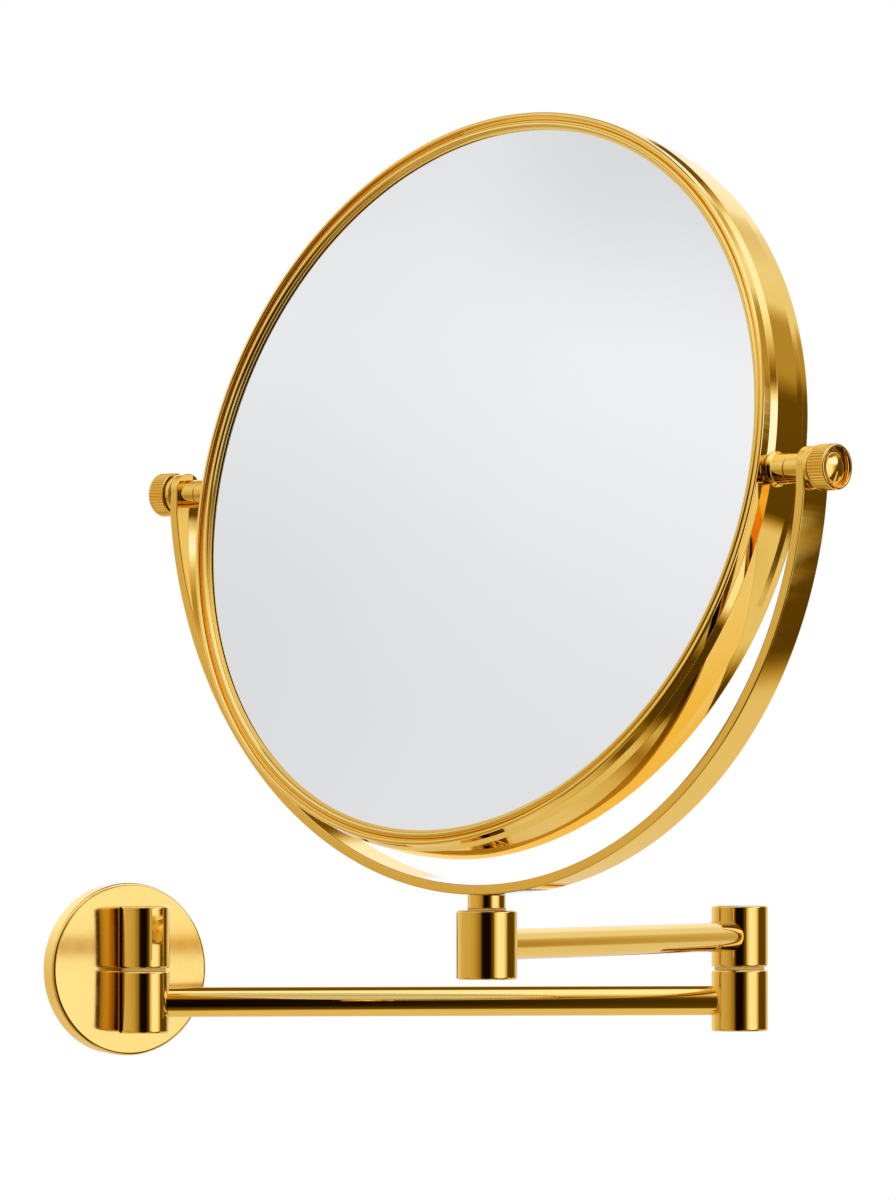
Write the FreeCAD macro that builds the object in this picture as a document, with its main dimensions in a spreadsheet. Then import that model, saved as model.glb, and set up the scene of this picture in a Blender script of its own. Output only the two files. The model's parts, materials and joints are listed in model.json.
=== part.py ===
import FreeCAD, Part
import math
import os
import re
import Sketcher

# A round magnifying mirror in a yoke, carried by two swing arms from a wall plate.
# The origin is the centre of the wall plate's back on the wall; +Z is up and the room is on the -Y side.

os.makedirs("parts", exist_ok=True)
doc = FreeCAD.newDocument("magnifying_mirror")
sheet = doc.addObject("Spreadsheet::Sheet", "Sizes")

# Driving sizes in millimetres and degrees
SIZES = (
    ("plate_d", 57.4, "wall plate, outer diameter"),
    ("head_room", 0.7, "space between the bracket and the fixing screws' heads"),
    ("plate_wall", 2.2, "wall plate, thickness of the skirt"),
    ("plate_face", 1.8, "wall plate, thickness of the face"),
    ("plate_round", 1.2, "wall plate, rounding of the front edge"),
    ("bracket_thick", 3.4, "wall bracket, thickness"),
    ("bracket_gap", 1.2, "space between the bracket's edge and the skirt"),
    ("screw_pitch", 32, "wall bracket, distance between the two screw holes"),
    ("screw_hole_d", 4.5, "wall bracket, screw holes"),
    ("grub_d", 3, "grub screw in the skirt, diameter"),
    ("grub_shift", 0.2, "grub screw, how far its axis lies before the bracket's middle"),
    ("grub_recess", 0.4, "grub screw, how far it sits below the skirt's surface"),
    ("wall_barrel_d", 17, "wall joint, barrel diameter"),
    ("barrel_d", 19.2, "elbow and post, barrel diameter"),
    ("barrel_height", 20.6, "wall joint and elbow, height of one barrel"),
    ("barrel_gap", 0.9, "groove between two stacked barrels"),
    ("barrel_round", 0.8, "barrels, rounding of the end edges"),
    ("post_height", 21.6, "post barrel, height"),
    ("swing_gap", 0.6, "space between the swinging wall barrel and the plate's face"),
    ("pad_width", 9, "seat of the upper wall barrel on the plate, width"),
    ("pad_height", 17, "seat of the upper wall barrel on the plate, height"),
    ("pad_wall", 2.5, "metal between the pivot bolt's hole and the seat"),
    ("fixing_d", 4, "barrel fixing screws, diameter"),
    ("fixing_pitch", 10, "barrel fixing screws, distance apart"),
    ("fixing_wall", 1.7, "metal between the fixing screws' holes and the pivot bolt's"),
    ("fixing_head_d", 7, "fixing and stem screws, head diameter"),
    ("fixing_head", 2, "fixing and stem screws, head height"),
    ("pivot_d", 6, "pivot bolts, diameter"),
    ("barrel_top", 6.6, "metal above the bolt's hole in an upper barrel"),
    ("pivot_head_d", 8.4, "pivot bolts, head diameter"),
    ("pivot_head", 2.6, "pivot bolts, head height"),
    ("well_gap", 0.7, "space beside a bolt's head in the well under a barrel"),
    ("cap_gap", 0.4, "space between a bolt's head and the closing cap"),
    ("cap_thick", 1.2, "closing caps, thickness"),
    ("spring_lip", 0.2, "spring washers, how far they pass the bolt's head"),
    ("spring_thick", 0.8, "spring washers, thickness"),
    ("washer_inset", 1.2, "friction washers, how far they sit back from the barrel's surface"),
    ("tube_d", 10, "arm tubes, outer diameter"),
    ("tube_wall", 1, "arm tubes, wall"),
    ("tube_stop", 0.3, "distance of a tube's end outside the well's wall"),
    ("arm_length", 200, "arms, distance between the axes at the two ends"),
    ("lower_arm_turn", -22.5, "direction of the lower arm about the vertical, from +X"),
    ("upper_arm_turn", -145, "direction of the upper arm about the vertical, from +X"),
    ("yoke_turn", -72.4, "direction of the right ear about the vertical, from +X"),
    ("head_tilt", 12.4, "tilt of the mirror, face up"),
    ("stem_d", 12, "yoke stem, collar diameter"),
    ("stem_height", 4.7, "distance from the post barrel to the yoke"),
    ("thrust_thick", 0.5, "thrust washer under the stem collar, thickness"),
    ("journal_d", 7, "yoke stem, diameter inside the post barrel"),
    ("spigot_d", 5, "yoke stem, diameter of the end riveted in the yoke"),
    ("stem_thread", 9, "yoke stem, depth of the screw's hole"),
    ("yoke_clear", 12.7, "space between the mirror frame and the yoke's arc at its centre height"),
    ("yoke_rise", 5.45, "yoke, height of the arc's centre above the tilt axis"),
    ("yoke_thick", 3.2, "yoke, thickness of the strip"),
    ("yoke_width", 11.3, "yoke, width of the strip"),
    ("yoke_edge", 0.35, "yoke, bevel along the strip's edges"),
    ("ear_below", 7, "ears, straight length below the tilt axis"),
    ("ear_above", 6.6, "ears, height above the tilt axis"),
    ("ear_flat", 0.6, "ears, flat left between the two rounded top corners"),
    ("frame_d", 236.2, "mirror frame, outer diameter"),
    ("front_depth", 8, "mirror frame, front crest before the tilt axis"),
    ("crest", 2.6, "bezels, height of the outer roll above the glass"),
    ("lip_thick", 0.45, "bezels, thickness of the inner lip"),
    ("lip_width", 0.6, "bezels, width of the inner lip"),
    ("roll_width", 2.7, "bezels, width of the inner roll"),
    ("roll_height", 2, "bezels, height of the inner roll above the glass"),
    ("roll_round", 1.3, "bezels, rounding of the inner roll"),
    ("groove_width", 0.3, "bezels, width of the groove between the rolls"),
    ("groove_height", 0.5, "bezels, height of the groove's floor above the glass"),
    ("shoulder_width", 2.2, "bezels, width of the outer roll and the flank beside it"),
    ("shoulder_inner", 0.6, "bezels, rounding of the outer roll at the groove"),
    ("shoulder_outer", 0.75, "bezels, rounding of the outer roll at the flank"),
    ("flank_top", 0.9, "bezels, how far the leaning flank starts inside the frame's diameter"),
    ("flank_foot", 0.35, "bezels, how far the leaning flank ends inside the frame's diameter"),
    ("seam", 0.9, "bezels, distance of the seam with the band behind the glass face"),
    ("skirt_wall", 0.8, "bezels, thickness of the ring inside the band"),
    ("skirt_clear", 0.15, "bezels, distance of the ring inside the band from the boss holes"),
    ("band_wall", 1.5, "frame band, thickness"),
    ("band_taper", 0.4, "frame band, how far its edges are drawn in"),
    ("taper_depth", 2.7, "frame band, width of the tapered strip along each edge"),
    ("glass_gap", 0.35, "space round the glasses inside the bezels"),
    ("glass_thick", 3, "mirror glasses, thickness"),
    ("mirror_radius", 800, "magnifying glass, radius of its hollow face"),
    ("spacer_width", 6.4, "spacer ring between the glasses, width"),
    ("sheet_thick", 1, "backing sheet, thickness"),
    ("sheet_gap", 1.4, "space between the backing sheet and the magnifying glass"),
    ("boss_d", 9, "frame bosses and ear bushes, diameter"),
    ("boss_length", 6, "frame bosses, length"),
    ("boss_foot_d", 10.8, "frame bosses, diameter of the foot"),
    ("boss_foot", 0.6, "frame bosses, thickness of the foot's edge"),
    ("boss_flare", 2.4, "frame bosses, height of the flared part"),
    ("boss_wall", 0.9, "frame bosses, wall round the thread in the band"),
    ("boss_end", 0.4, "frame bosses, how far they pass the band's inner face"),
    ("sleeve_wall", 0.8, "ear bushes, wall of the sleeve in the ear"),
    ("washer_d", 12.8, "knob washers, diameter"),
    ("washer_thick", 1.6, "knob washers, thickness"),
    ("shank_d", 5, "clamp knobs, diameter of the threaded shank"),
    ("shank_short", 1, "clamp knobs, distance of the shank's end from the band"),
    ("knob_d", 14, "clamp knobs, diameter"),
    ("knob_length", 6.9, "clamp knobs, length"),
    ("knob_neck", 0.5, "clamp knobs, length of the narrow neck beside the washer"),
    ("knob_neck_d", 10, "clamp knobs, diameter of the narrow neck"),
    ("knob_face_round", 0.4, "clamp knobs, rounding beside the neck"),
    ("knob_rim_round", 0.5, "clamp knobs, rounding of the outer rim"),
    ("knob_rim", 0.8, "clamp knobs, width of the rim round the dished end"),
    ("knob_dish_wall", 0.8, "clamp knobs, width of the dish's sloping wall"),
    ("knob_dish", 2.6, "clamp knobs, depth of the dished end"),
    ("knob_moat", 1.2, "clamp knobs, width of the dish's floor round the raised centre"),
    ("knob_dome", 1.6, "clamp knobs, height of the raised centre"),
    ("knob_dome_round", 1.4, "clamp knobs, rounding of the raised centre"),
    ("knob_band", 0.8, "clamp knobs, smooth length beyond the straight knurl"),
    ("knurl_count", 44, "clamp knobs, number of flutes"),
    ("knurl_depth", 0.45, "clamp knobs, depth of a flute"),
    ("knurl_share", 0.84, "clamp knobs, share of the pitch that a flute takes"),
    ("turn_play", 0.05, "running clearance of pivots, radial"),
    ("fit_play", 0.05, "clearance of pressed and threaded pieces, radial"),
    ("loose_play", 0.15, "clearance of loose pieces and between turning faces"),
)
for row, (alias, number, note) in enumerate(SIZES, 1):
    sheet.set(f"A{row}", note)
    sheet.set(f"B{row}", str(number))
    sheet.setAlias(f"B{row}", alias)

# Sizes that follow from the driving ones, so that pieces that fit together stay together
FITTED = (
    ("plate_depth", "bracket_thick + fixing_head + head_room + plate_face", "wall plate, depth"),
    ("bracket_d", "plate_d - 2 * (plate_wall + bracket_gap)", "wall bracket, diameter"),
    ("grub_back", "bracket_thick / 2 + grub_shift", "grub screw, distance of its axis from the wall"),
    ("axis_out", "plate_depth + swing_gap + wall_barrel_d / 2", "wall joint, distance from the wall"),
    ("fixing_depth", "wall_barrel_d / 2 + swing_gap - pivot_d / 2 - fixing_wall", "fixing holes, depth"),
    ("pivot_reach", "barrel_height - barrel_top", "pivot bolts, depth of the thread"),
    ("well_d", "pivot_head_d + 2 * well_gap", "well under a barrel, diameter"),
    ("well_depth", "spring_thick + pivot_head + cap_gap + cap_thick", "well under a barrel, depth"),
    ("spring_d", "pivot_head_d + 2 * spring_lip", "spring washers, diameter"),
    ("tube_inset", "well_d / 2 + tube_stop", "distance of a tube's end from the barrel's axis"),
    ("upper_level", "(barrel_height + barrel_gap) / 2", "height of the upper arm above the joint's groove"),
    ("yoke_radius", "frame_d / 2 + yoke_clear", "yoke, inner radius of the arc"),
    ("tilt_level", "post_height / 2 + stem_height + yoke_thick + yoke_radius - yoke_rise", "tilt height"),
    ("ear_in", "sqrt(pow(yoke_radius; 2) - pow(ear_below + yoke_rise; 2))", "ears, inner faces"),
    ("ear_out", "ear_in + yoke_thick", "ears, outer faces"),
    ("skirt_d", "frame_d - 2 * (band_wall + fit_play)", "bezels, diameter of the ring inside the band"),
    ("glass_d", "skirt_d - 2 * (skirt_wall + glass_gap)", "mirror glasses, diameter"),
    ("bezel_width", "lip_width + roll_width + groove_width + shoulder_width", "bezels, width"),
    ("view_d", "frame_d - 2 * bezel_width", "diameter of the glass in view"),
    ("curve_rise", "sqrt(pow(mirror_radius; 2) - pow(glass_d / 2; 2))", "hollow face, centre before rim"),
    ("front_glass", "front_depth - crest", "rim of the magnifying glass before the tilt axis"),
    ("sheet_back", "mirror_radius - curve_rise + glass_thick + sheet_gap - front_glass", "sheet, front"),
    ("rear_glass", "sheet_back + sheet_thick + glass_thick", "plane glass, face behind the tilt axis"),
    ("spigot_end_d", "shank_d + 2 * boss_wall", "frame bosses, diameter in the band"),
    ("skirt_length", "front_glass - seam - spigot_end_d / 2 - fit_play - skirt_clear", "bezels, inner ring"),
    ("boss_out", "frame_d / 2 + boss_length", "frame bosses, distance of the outer faces"),
    ("sleeve_d", "shank_d + 2 * (loose_play + sleeve_wall)", "ear bushes, diameter in the ear"),
    ("knob_in", "ear_out + washer_thick + loose_play", "clamp knobs, distance of the inner faces"),
    ("knob_out", "knob_in + knob_length", "clamp knobs, distance of the outer ends"),
    ("knob_mouth_d", "knob_d - 2 * knob_rim", "clamp knobs, mouth of the dished end"),
    ("knob_floor_d", "knob_mouth_d - 2 * knob_dish_wall", "clamp knobs, floor of the dished end"),
    ("knob_dome_d", "knob_floor_d - 2 * knob_moat", "clamp knobs, raised centre"),
    ("knurl_length", "knob_length - knob_neck - knob_band", "clamp knobs, length of the straight knurl"),
    ("knurl_half", "knob_d * pi / knurl_count * knurl_share", "clamp knobs, half the flute's drawn width"),
)
SOURCES = {alias: "Sizes." for alias, number, note in SIZES}
NEAR = 1e-3
NODES = []


def linked(text):
    """Return an expression with every size name tied to the sheet that holds it."""
    return re.sub(r"[a-z_]+", lambda word: SOURCES.get(word[0], "") + word[0], text)


fitted = doc.addObject("Spreadsheet::Sheet", "Fitted")
for row, (alias, formula, note) in enumerate(FITTED, 1):
    fitted.set(f"A{row}", note)
    fitted.set(f"B{row}", "=" + linked(formula))
    fitted.setAlias(f"B{row}", alias)
doc.recompute()
SOURCES.update((alias, "Fitted.") for alias, formula, note in FITTED)


def size(alias):
    """Return a size as a number."""
    return float((sheet if SOURCES[alias] == "Sizes." else fitted).get(alias))


# Frames of the moving groups, each an expression that follows the arms
AXIS_X = "1; 0; 0"
AXIS_Y = "0; 1; 0"
AXIS_Z = "0; 0; 1"


def moved(along_x, along_y, along_z):
    return f"placement(vector({along_x}; {along_y}; {along_z}); rotation(vector({AXIS_Z}); 0))"


def turned_by(axis, angle):
    return f"placement(vector(0; 0; 0); rotation(vector({axis}); {angle}))"


def chain(*steps):
    return " * ".join(steps)


OUT_OF_WALL = turned_by(AXIS_X, "90")
WALL_AXIS = moved("0", "-axis_out", "0")
LOWER_ARM = chain(WALL_AXIS, turned_by(AXIS_Z, "lower_arm_turn"))
ELBOW_AXIS = chain(LOWER_ARM, moved("arm_length", "0", "0"))
UPPER_ELBOW = chain(ELBOW_AXIS, turned_by(AXIS_Z, "upper_arm_turn - lower_arm_turn"))
UPPER_ARM = chain(UPPER_ELBOW, moved("0", "0", "upper_level"))
POST_AXIS = chain(UPPER_ARM, moved("arm_length", "0", "0"))
YOKE_STEM = chain(POST_AXIS, turned_by(AXIS_Z, "yoke_turn - upper_arm_turn"))
YOKE = chain(YOKE_STEM, moved("0", "0", "tilt_level"))
HEAD = chain(YOKE, turned_by(AXIS_X, "-head_tilt"))
FRONT = chain(HEAD, turned_by(AXIS_X, "90"))
REAR = chain(HEAD, turned_by(AXIS_X, "-90"))
SIDES = (("right", "90"), ("left", "-90"))


# Builders for the kinds of piece that come back often
def new_body(label, frame):
    body = doc.addObject("PartDesign::Body", label)
    body.Label = label
    body.setExpression("Placement", linked(frame))
    NODES.append(body)
    return body


def new_sketch(body, suffix, role, offset="0"):
    sketch = body.newObject("Sketcher::SketchObject", f"{body.Name}_{suffix}")
    plane = next(feature for feature in body.Origin.OriginFeatures if feature.Role == role)
    sketch.AttachmentSupport = [(plane, "")]
    sketch.MapMode = "FlatFace"
    sketch.setExpression("AttachmentOffset.Base.z", linked(offset))
    return sketch


def tie(sketch, kind, place, text, start=1.0):
    """Add one dimension to a sketch and tie it to the sheet; arcs need a start near their true size."""
    index = sketch.addConstraint(Sketcher.Constraint(kind, *place, start))
    sketch.setExpression(f"Constraints[{index}]", linked(text))


def tie_point(sketch, geometry, position, across, up, start=FreeCAD.Vector(1, 1, 0)):
    """Tie one point of a sketch to its two coordinates; a zero puts it on the axis."""
    for kind, axis, text, value in (("DistanceX", -2, across, start.x), ("DistanceY", -1, up, start.y)):
        if text == "0":
            sketch.addConstraint(Sketcher.Constraint("PointOnObject", geometry, position, axis))
        else:
            tie(sketch, kind, (-1, 1, geometry, position), text, value)


def outline(body, suffix, role, corners, offset="0"):
    """Draw a closed outline of straight edges, each corner tied to the sheet."""
    sketch = new_sketch(body, suffix, role, offset)
    count = len(corners)
    start = []
    for index in range(count):
        angle = 2 * math.pi * index / count
        start.append(FreeCAD.Vector(2 + math.cos(angle), math.sin(angle), 0))
    for index in range(count):
        sketch.addGeometry(Part.LineSegment(start[index], start[(index + 1) % count]))
    for index in range(count):
        sketch.addConstraint(Sketcher.Constraint("Coincident", index, 2, (index + 1) % count, 1))
    for index, (across, up) in enumerate(corners):
        tie_point(sketch, index, 1, across, up)
    return sketch


def circles(body, suffix, role, centres, radius, offset="0"):
    """Draw circles of one radius round the given centres."""
    sketch = new_sketch(body, suffix, role, offset)
    for index, (across, up) in enumerate(centres):
        sketch.addGeometry(Part.Circle(FreeCAD.Vector(index, index, 0), FreeCAD.Vector(0, 0, 1), 1))
        tie_point(sketch, index, 3, across, up)
        tie(sketch, "Radius", (index,), radius)
    return sketch


def pocket(body, suffix, sketch, length, forward=True, both=False):
    """Cut a sketch away along its normal, against it, or to both sides."""
    cut = body.newObject("PartDesign::Pocket", f"{body.Name}_{suffix}")
    cut.Profile = sketch
    cut.Reversed = forward
    cut.Midplane = both
    cut.setExpression("Length", linked(length))
    doc.recompute()
    return cut


def rounded(body, suffix, names, radius):
    """Round the named edges of the body's last feature."""
    fillet = body.newObject("PartDesign::Fillet", f"{body.Name}_{suffix}")
    fillet.Base = (fillet.BaseFeature, names)
    fillet.setExpression("Radius", linked(radius))
    doc.recompute()
    return fillet


def ring_edges(shape, corners):
    """Return the names of the circular edges that pass through the given half-section corners."""
    names = []
    for number, edge in enumerate(shape.Edges, 1):
        curve = edge.Curve
        if not isinstance(curve, Part.Circle):
            continue
        for corner in corners:
            if abs(curve.Radius - corner.x) < NEAR and abs(curve.Center.z - corner.y) < NEAR:
                names.append(f"Edge{number}")
    return names


def turned(label, frame, corners, rounds=()):
    """Turn a half-section of (radius, height) corners about the body's own Z, then round some corners."""
    body = new_body(label, frame)
    section = outline(body, "section", "XZ_Plane", corners)
    turn = body.newObject("PartDesign::Revolution", f"{label}_turn")
    turn.Profile = section
    turn.ReferenceAxis = (section, ["V_Axis"])
    turn.Angle = 360
    doc.recompute()
    for step, (radius, numbers) in enumerate(rounds, 1):
        points = [section.Geometry[number].StartPoint for number in numbers]
        rounded(body, f"round_{step}", ring_edges(body.Tip.Shape, points), radius)
    return body


def ring(label, frame, inner, outer, low, high):
    """Turn a plain ring or sleeve."""
    return turned(label, frame, ((inner, low), (outer, low), (outer, high), (inner, high)))


def disc(label, frame, radius, low, high):
    """Turn a plain disc."""
    return turned(label, frame, (("0", low), (radius, low), (radius, high), ("0", high)))


def screw(label, frame, shank, length, head, head_height):
    """Turn a screw whose head lies below the height zero and whose shank stands above it."""
    return turned(
        label,
        frame,
        (
            ("0", f"-({head_height})"),
            (head, f"-({head_height})"),
            (head, "0"),
            (shank, "0"),
            (shank, length),
            ("0", length),
        ),
    )


# Wall plate, bracket and their screws
HOLE_ROWS = (("0", "upper_level + fixing_pitch / 2"), ("0", "upper_level - fixing_pitch / 2"))
PLATE_BACK = "plate_depth - plate_face"
plate = turned(
    "wall_plate",
    OUT_OF_WALL,
    (
        ("plate_d / 2 - plate_wall", "0"),
        ("plate_d / 2", "0"),
        ("plate_d / 2", "plate_depth"),
        ("0", "plate_depth"),
        ("0", PLATE_BACK),
        ("plate_d / 2 - plate_wall", PLATE_BACK),
    ),
    (("plate_round", (2,)),),
)
holes = circles(plate, "fixing_holes", "XY_Plane", HOLE_ROWS, "fixing_d / 2 + loose_play")
pocket(plate, "fixing_cut", holes, "plate_depth * 2")
holes = circles(plate, "grub_hole", "XZ_Plane", (("0", "grub_back"),), "grub_d / 2 + fit_play")
pocket(plate, "grub_cut", holes, "plate_d")

bracket = disc("wall_bracket", OUT_OF_WALL, "bracket_d / 2", "0", "bracket_thick")
SCREW_ROW = (("screw_pitch / 2", "0"), ("-screw_pitch / 2", "0"))
holes = circles(bracket, "screw_holes", "XY_Plane", SCREW_ROW, "screw_hole_d / 2")
pocket(bracket, "screw_cut", holes, "bracket_thick * 2")

disc(
    "plate_grub_screw",
    chain(moved("0", "-grub_back", "-bracket_d / 2"), turned_by(AXIS_X, "180")),
    "grub_d / 2",
    "0",
    "bracket_gap + plate_wall - grub_recess",
)
for name, (across, up) in zip(("top", "bottom"), HOLE_ROWS):
    screw(
        f"barrel_fixing_screw_{name}",
        chain(moved("0", f"-({PLATE_BACK})", up), OUT_OF_WALL),
        "fixing_d / 2",
        "plate_face + fixing_depth - loose_play",
        "fixing_head_d / 2",
        "fixing_head",
    )


# Barrels, bolts and washers of the joints
def blind_barrel(label, frame, radius):
    """Turn a barrel with the bolt's threaded hole in its underside."""
    low = "-barrel_height / 2"
    high = "barrel_height / 2"
    hole = "pivot_d / 2 + fit_play"
    hole_end = f"pivot_reach + {low}"
    return turned(
        label,
        frame,
        ((hole, low), (radius, low), (radius, high), ("0", high), ("0", hole_end), (hole, hole_end)),
        (("barrel_round", (1, 2)),),
    )


def bored_barrel(label, frame, radius, height, bore):
    """Turn a barrel with a running bore and a well for the bolt's head in its underside."""
    low = f"-{height} / 2"
    high = f"{height} / 2"
    well = "well_d / 2"
    floor = f"well_depth - {height} / 2"
    return turned(
        label,
        frame,
        ((well, low), (radius, low), (radius, high), (bore, high), (bore, floor), (well, floor)),
        (("barrel_round", (1, 2)),),
    )


def tube_socket(barrel):
    """Cut the blind side hole in which an arm tube is brazed, on the barrel's own +X side."""
    mouth = circles(barrel, "socket", "YZ_Plane", (("0", "0"),), "tube_d / 2 + fit_play", "tube_inset")
    pocket(barrel, "socket_cut", mouth, "barrel_d")


def joint_hardware(name, frame, barrel_radius, cap_frame):
    """Make the bolt, washers and cap that hold two stacked barrels together."""
    floor = "(barrel_gap / 2 + barrel_height - well_depth)"
    bolt_play = "pivot_d / 2 + loose_play"
    screw(
        f"{name}_pivot_bolt",
        chain(frame, moved("0", "0", f"-({floor} + spring_thick)")),
        "pivot_d / 2",
        f"{floor} + spring_thick + barrel_gap / 2 + pivot_reach - loose_play",
        "pivot_head_d / 2",
        "pivot_head",
    )
    outer = f"{barrel_radius} - washer_inset"
    ring(f"{name}_friction_washer", frame, bolt_play, outer, "-barrel_gap / 2", "barrel_gap / 2")
    ring(f"{name}_spring_washer", frame, bolt_play, "spring_d / 2", f"-({floor} + spring_thick)", f"-{floor}")
    base = "-(barrel_gap / 2 + barrel_height)"
    disc(f"{name}_barrel_cap", cap_frame, "well_d / 2 - fit_play", base, f"cap_thick + {base}")


def arm_tube(label, frame):
    """Turn an arm tube that reaches from one barrel's socket to the next one's."""
    ring(
        label,
        chain(frame, moved("tube_inset", "0", "0"), turned_by(AXIS_Y, "90")),
        "tube_d / 2 - tube_wall",
        "tube_d / 2",
        "0",
        "arm_length - 2 * tube_inset",
    )


LOWER_TUBE = chain(LOWER_ARM, moved("0", "0", "-upper_level"))
LOWER_TUBE_END = chain(LOWER_TUBE, moved("arm_length", "0", "0"), turned_by(AXIS_Z, "180"))
POST_SOCKET = chain(POST_AXIS, turned_by(AXIS_Z, "180"))
PIVOT_BORE = "pivot_d / 2 + turn_play"

WALL_UPPER = chain(WALL_AXIS, moved("0", "0", "upper_level"))
seat_barrel = blind_barrel("wall_upper_barrel", WALL_UPPER, "wall_barrel_d / 2")
seat = outline(
    seat_barrel,
    "seat",
    "XZ_Plane",
    (
        ("-pad_width / 2", "-pad_height / 2"),
        ("pad_width / 2", "-pad_height / 2"),
        ("pad_width / 2", "pad_height / 2"),
        ("-pad_width / 2", "pad_height / 2"),
    ),
    "-(pivot_d / 2 + pad_wall)",
)
pad = seat_barrel.newObject("PartDesign::Pad", "wall_upper_barrel_pad")
pad.Profile = seat
pad.Reversed = True
pad.setExpression("Length", linked("wall_barrel_d / 2 + swing_gap - pivot_d / 2 - pad_wall"))
doc.recompute()
holes = circles(
    seat_barrel,
    "fixing_holes",
    "XZ_Plane",
    (("0", "fixing_pitch / 2"), ("0", "-fixing_pitch / 2")),
    "fixing_d / 2 + fit_play",
    "-(wall_barrel_d / 2 + swing_gap)",
)
pocket(seat_barrel, "fixing_cut", holes, "fixing_depth")

tube_socket(bored_barrel("wall_lower_barrel", LOWER_TUBE, "wall_barrel_d / 2", "barrel_height", PIVOT_BORE))
joint_hardware("wall", LOWER_ARM, "wall_barrel_d / 2", LOWER_ARM)
arm_tube("lower_arm_tube", LOWER_TUBE)
tube_socket(bored_barrel("elbow_lower_barrel", LOWER_TUBE_END, "barrel_d / 2", "barrel_height", PIVOT_BORE))
tube_socket(blind_barrel("elbow_upper_barrel", UPPER_ARM, "barrel_d / 2"))
joint_hardware("elbow", UPPER_ELBOW, "barrel_d / 2", ELBOW_AXIS)
arm_tube("upper_arm_tube", UPPER_ARM)

# Post barrel, and the stem of the yoke that turns in it
JOURNAL_END = "(-(post_height / 2 - well_depth) - loose_play)"
STEM_HOLE = "fixing_d / 2 + fit_play"
STEM_TOP = "(post_height / 2 + stem_height)"
COLLAR = "(post_height / 2 + thrust_thick)"
POST_BORE = "journal_d / 2 + turn_play"
tube_socket(bored_barrel("post_barrel", POST_SOCKET, "barrel_d / 2", "post_height", POST_BORE))
disc("post_barrel_cap", POST_AXIS, "well_d / 2 - fit_play", "-post_height / 2", "cap_thick - post_height / 2")
turned(
    "yoke_stem",
    YOKE_STEM,
    (
        (STEM_HOLE, JOURNAL_END),
        ("journal_d / 2", JOURNAL_END),
        ("journal_d / 2", COLLAR),
        ("stem_d / 2", COLLAR),
        ("stem_d / 2", STEM_TOP),
        ("spigot_d / 2", STEM_TOP),
        ("spigot_d / 2", f"yoke_thick + {STEM_TOP}"),
        ("0", f"yoke_thick + {STEM_TOP}"),
        ("0", f"stem_thread + {JOURNAL_END}"),
        (STEM_HOLE, f"stem_thread + {JOURNAL_END}"),
    ),
)
ring("stem_thrust_washer", YOKE_STEM, "journal_d / 2 + loose_play", "stem_d / 2", "post_height / 2", COLLAR)
ring(
    "stem_spring_washer",
    YOKE_STEM,
    "fixing_d / 2 + loose_play",
    "spring_d / 2",
    f"{JOURNAL_END} - spring_thick",
    JOURNAL_END,
)
screw(
    "stem_screw",
    chain(YOKE_STEM, moved("0", "0", f"{JOURNAL_END} - spring_thick")),
    "fixing_d / 2",
    "spring_thick + stem_thread - loose_play",
    "fixing_head_d / 2",
    "fixing_head",
)

# Yoke: a strip bent in an arc, with straight ears at the tilt axis
yoke = new_body("yoke", YOKE)
strip = new_sketch(yoke, "strip", "XZ_Plane")
centre = FreeCAD.Vector(0, size("yoke_rise"), 0)
arc_ends = []
yoke_outer = size("yoke_radius") + size("yoke_thick")
for radius, ear in ((size("yoke_radius"), size("ear_in")), (yoke_outer, size("ear_out"))):
    angle = math.acos(ear / radius)
    circle = Part.Circle(centre, FreeCAD.Vector(0, 0, 1), radius)
    strip.addGeometry(Part.ArcOfCircle(circle, math.pi + angle, 2 * math.pi - angle))
    arc_ends.append(FreeCAD.Vector(ear, size("yoke_rise") - radius * math.sin(angle), 0))
inner_end, outer_end = arc_ends
for side in (1, -1):
    path = [
        FreeCAD.Vector(side * inner_end.x, inner_end.y, 0),
        FreeCAD.Vector(side * inner_end.x, size("ear_above"), 0),
        FreeCAD.Vector(side * outer_end.x, size("ear_above"), 0),
        FreeCAD.Vector(side * outer_end.x, outer_end.y, 0),
    ]
    first = strip.GeometryCount
    for begin, end in zip(path, path[1:]):
        strip.addGeometry(Part.LineSegment(begin, end))
    arc_point = 2 if side == 1 else 1
    sign = "" if side == 1 else "-"
    strip.addConstraint(Sketcher.Constraint("Coincident", 0, arc_point, first, 1))
    strip.addConstraint(Sketcher.Constraint("Coincident", first, 2, first + 1, 1))
    strip.addConstraint(Sketcher.Constraint("Coincident", first + 1, 2, first + 2, 1))
    strip.addConstraint(Sketcher.Constraint("Coincident", first + 2, 2, 1, arc_point))
    strip.addConstraint(Sketcher.Constraint("Vertical", first))
    strip.addConstraint(Sketcher.Constraint("Vertical", first + 2))
    tie_point(strip, first, 2, f"{sign}ear_in", "ear_above", path[1])
    tie_point(strip, first + 1, 2, f"{sign}ear_out", "ear_above", path[2])
strip.addConstraint(Sketcher.Constraint("Coincident", 0, 3, 1, 3))
tie_point(strip, 0, 3, "0", "yoke_rise", centre)
tie(strip, "Radius", (0,), "yoke_radius", size("yoke_radius"))
tie(strip, "Radius", (1,), "yoke_radius + yoke_thick", yoke_outer)
bend = yoke.newObject("PartDesign::Pad", "yoke_bend")
bend.Profile = strip
bend.Midplane = True
bend.setExpression("Length", linked("yoke_width"))
doc.recompute()
corner_edges = []
for number, edge in enumerate(bend.Shape.Edges, 1):
    if all(abs(vertex.Z - size("ear_above")) < NEAR for vertex in edge.Vertexes):
        if abs(edge.Vertexes[0].Y - edge.Vertexes[1].Y) < NEAR:
            corner_edges.append(f"Edge{number}")
rounded(yoke, "ears", corner_edges, "(yoke_width - ear_flat) / 2")
side_edges = []
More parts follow.
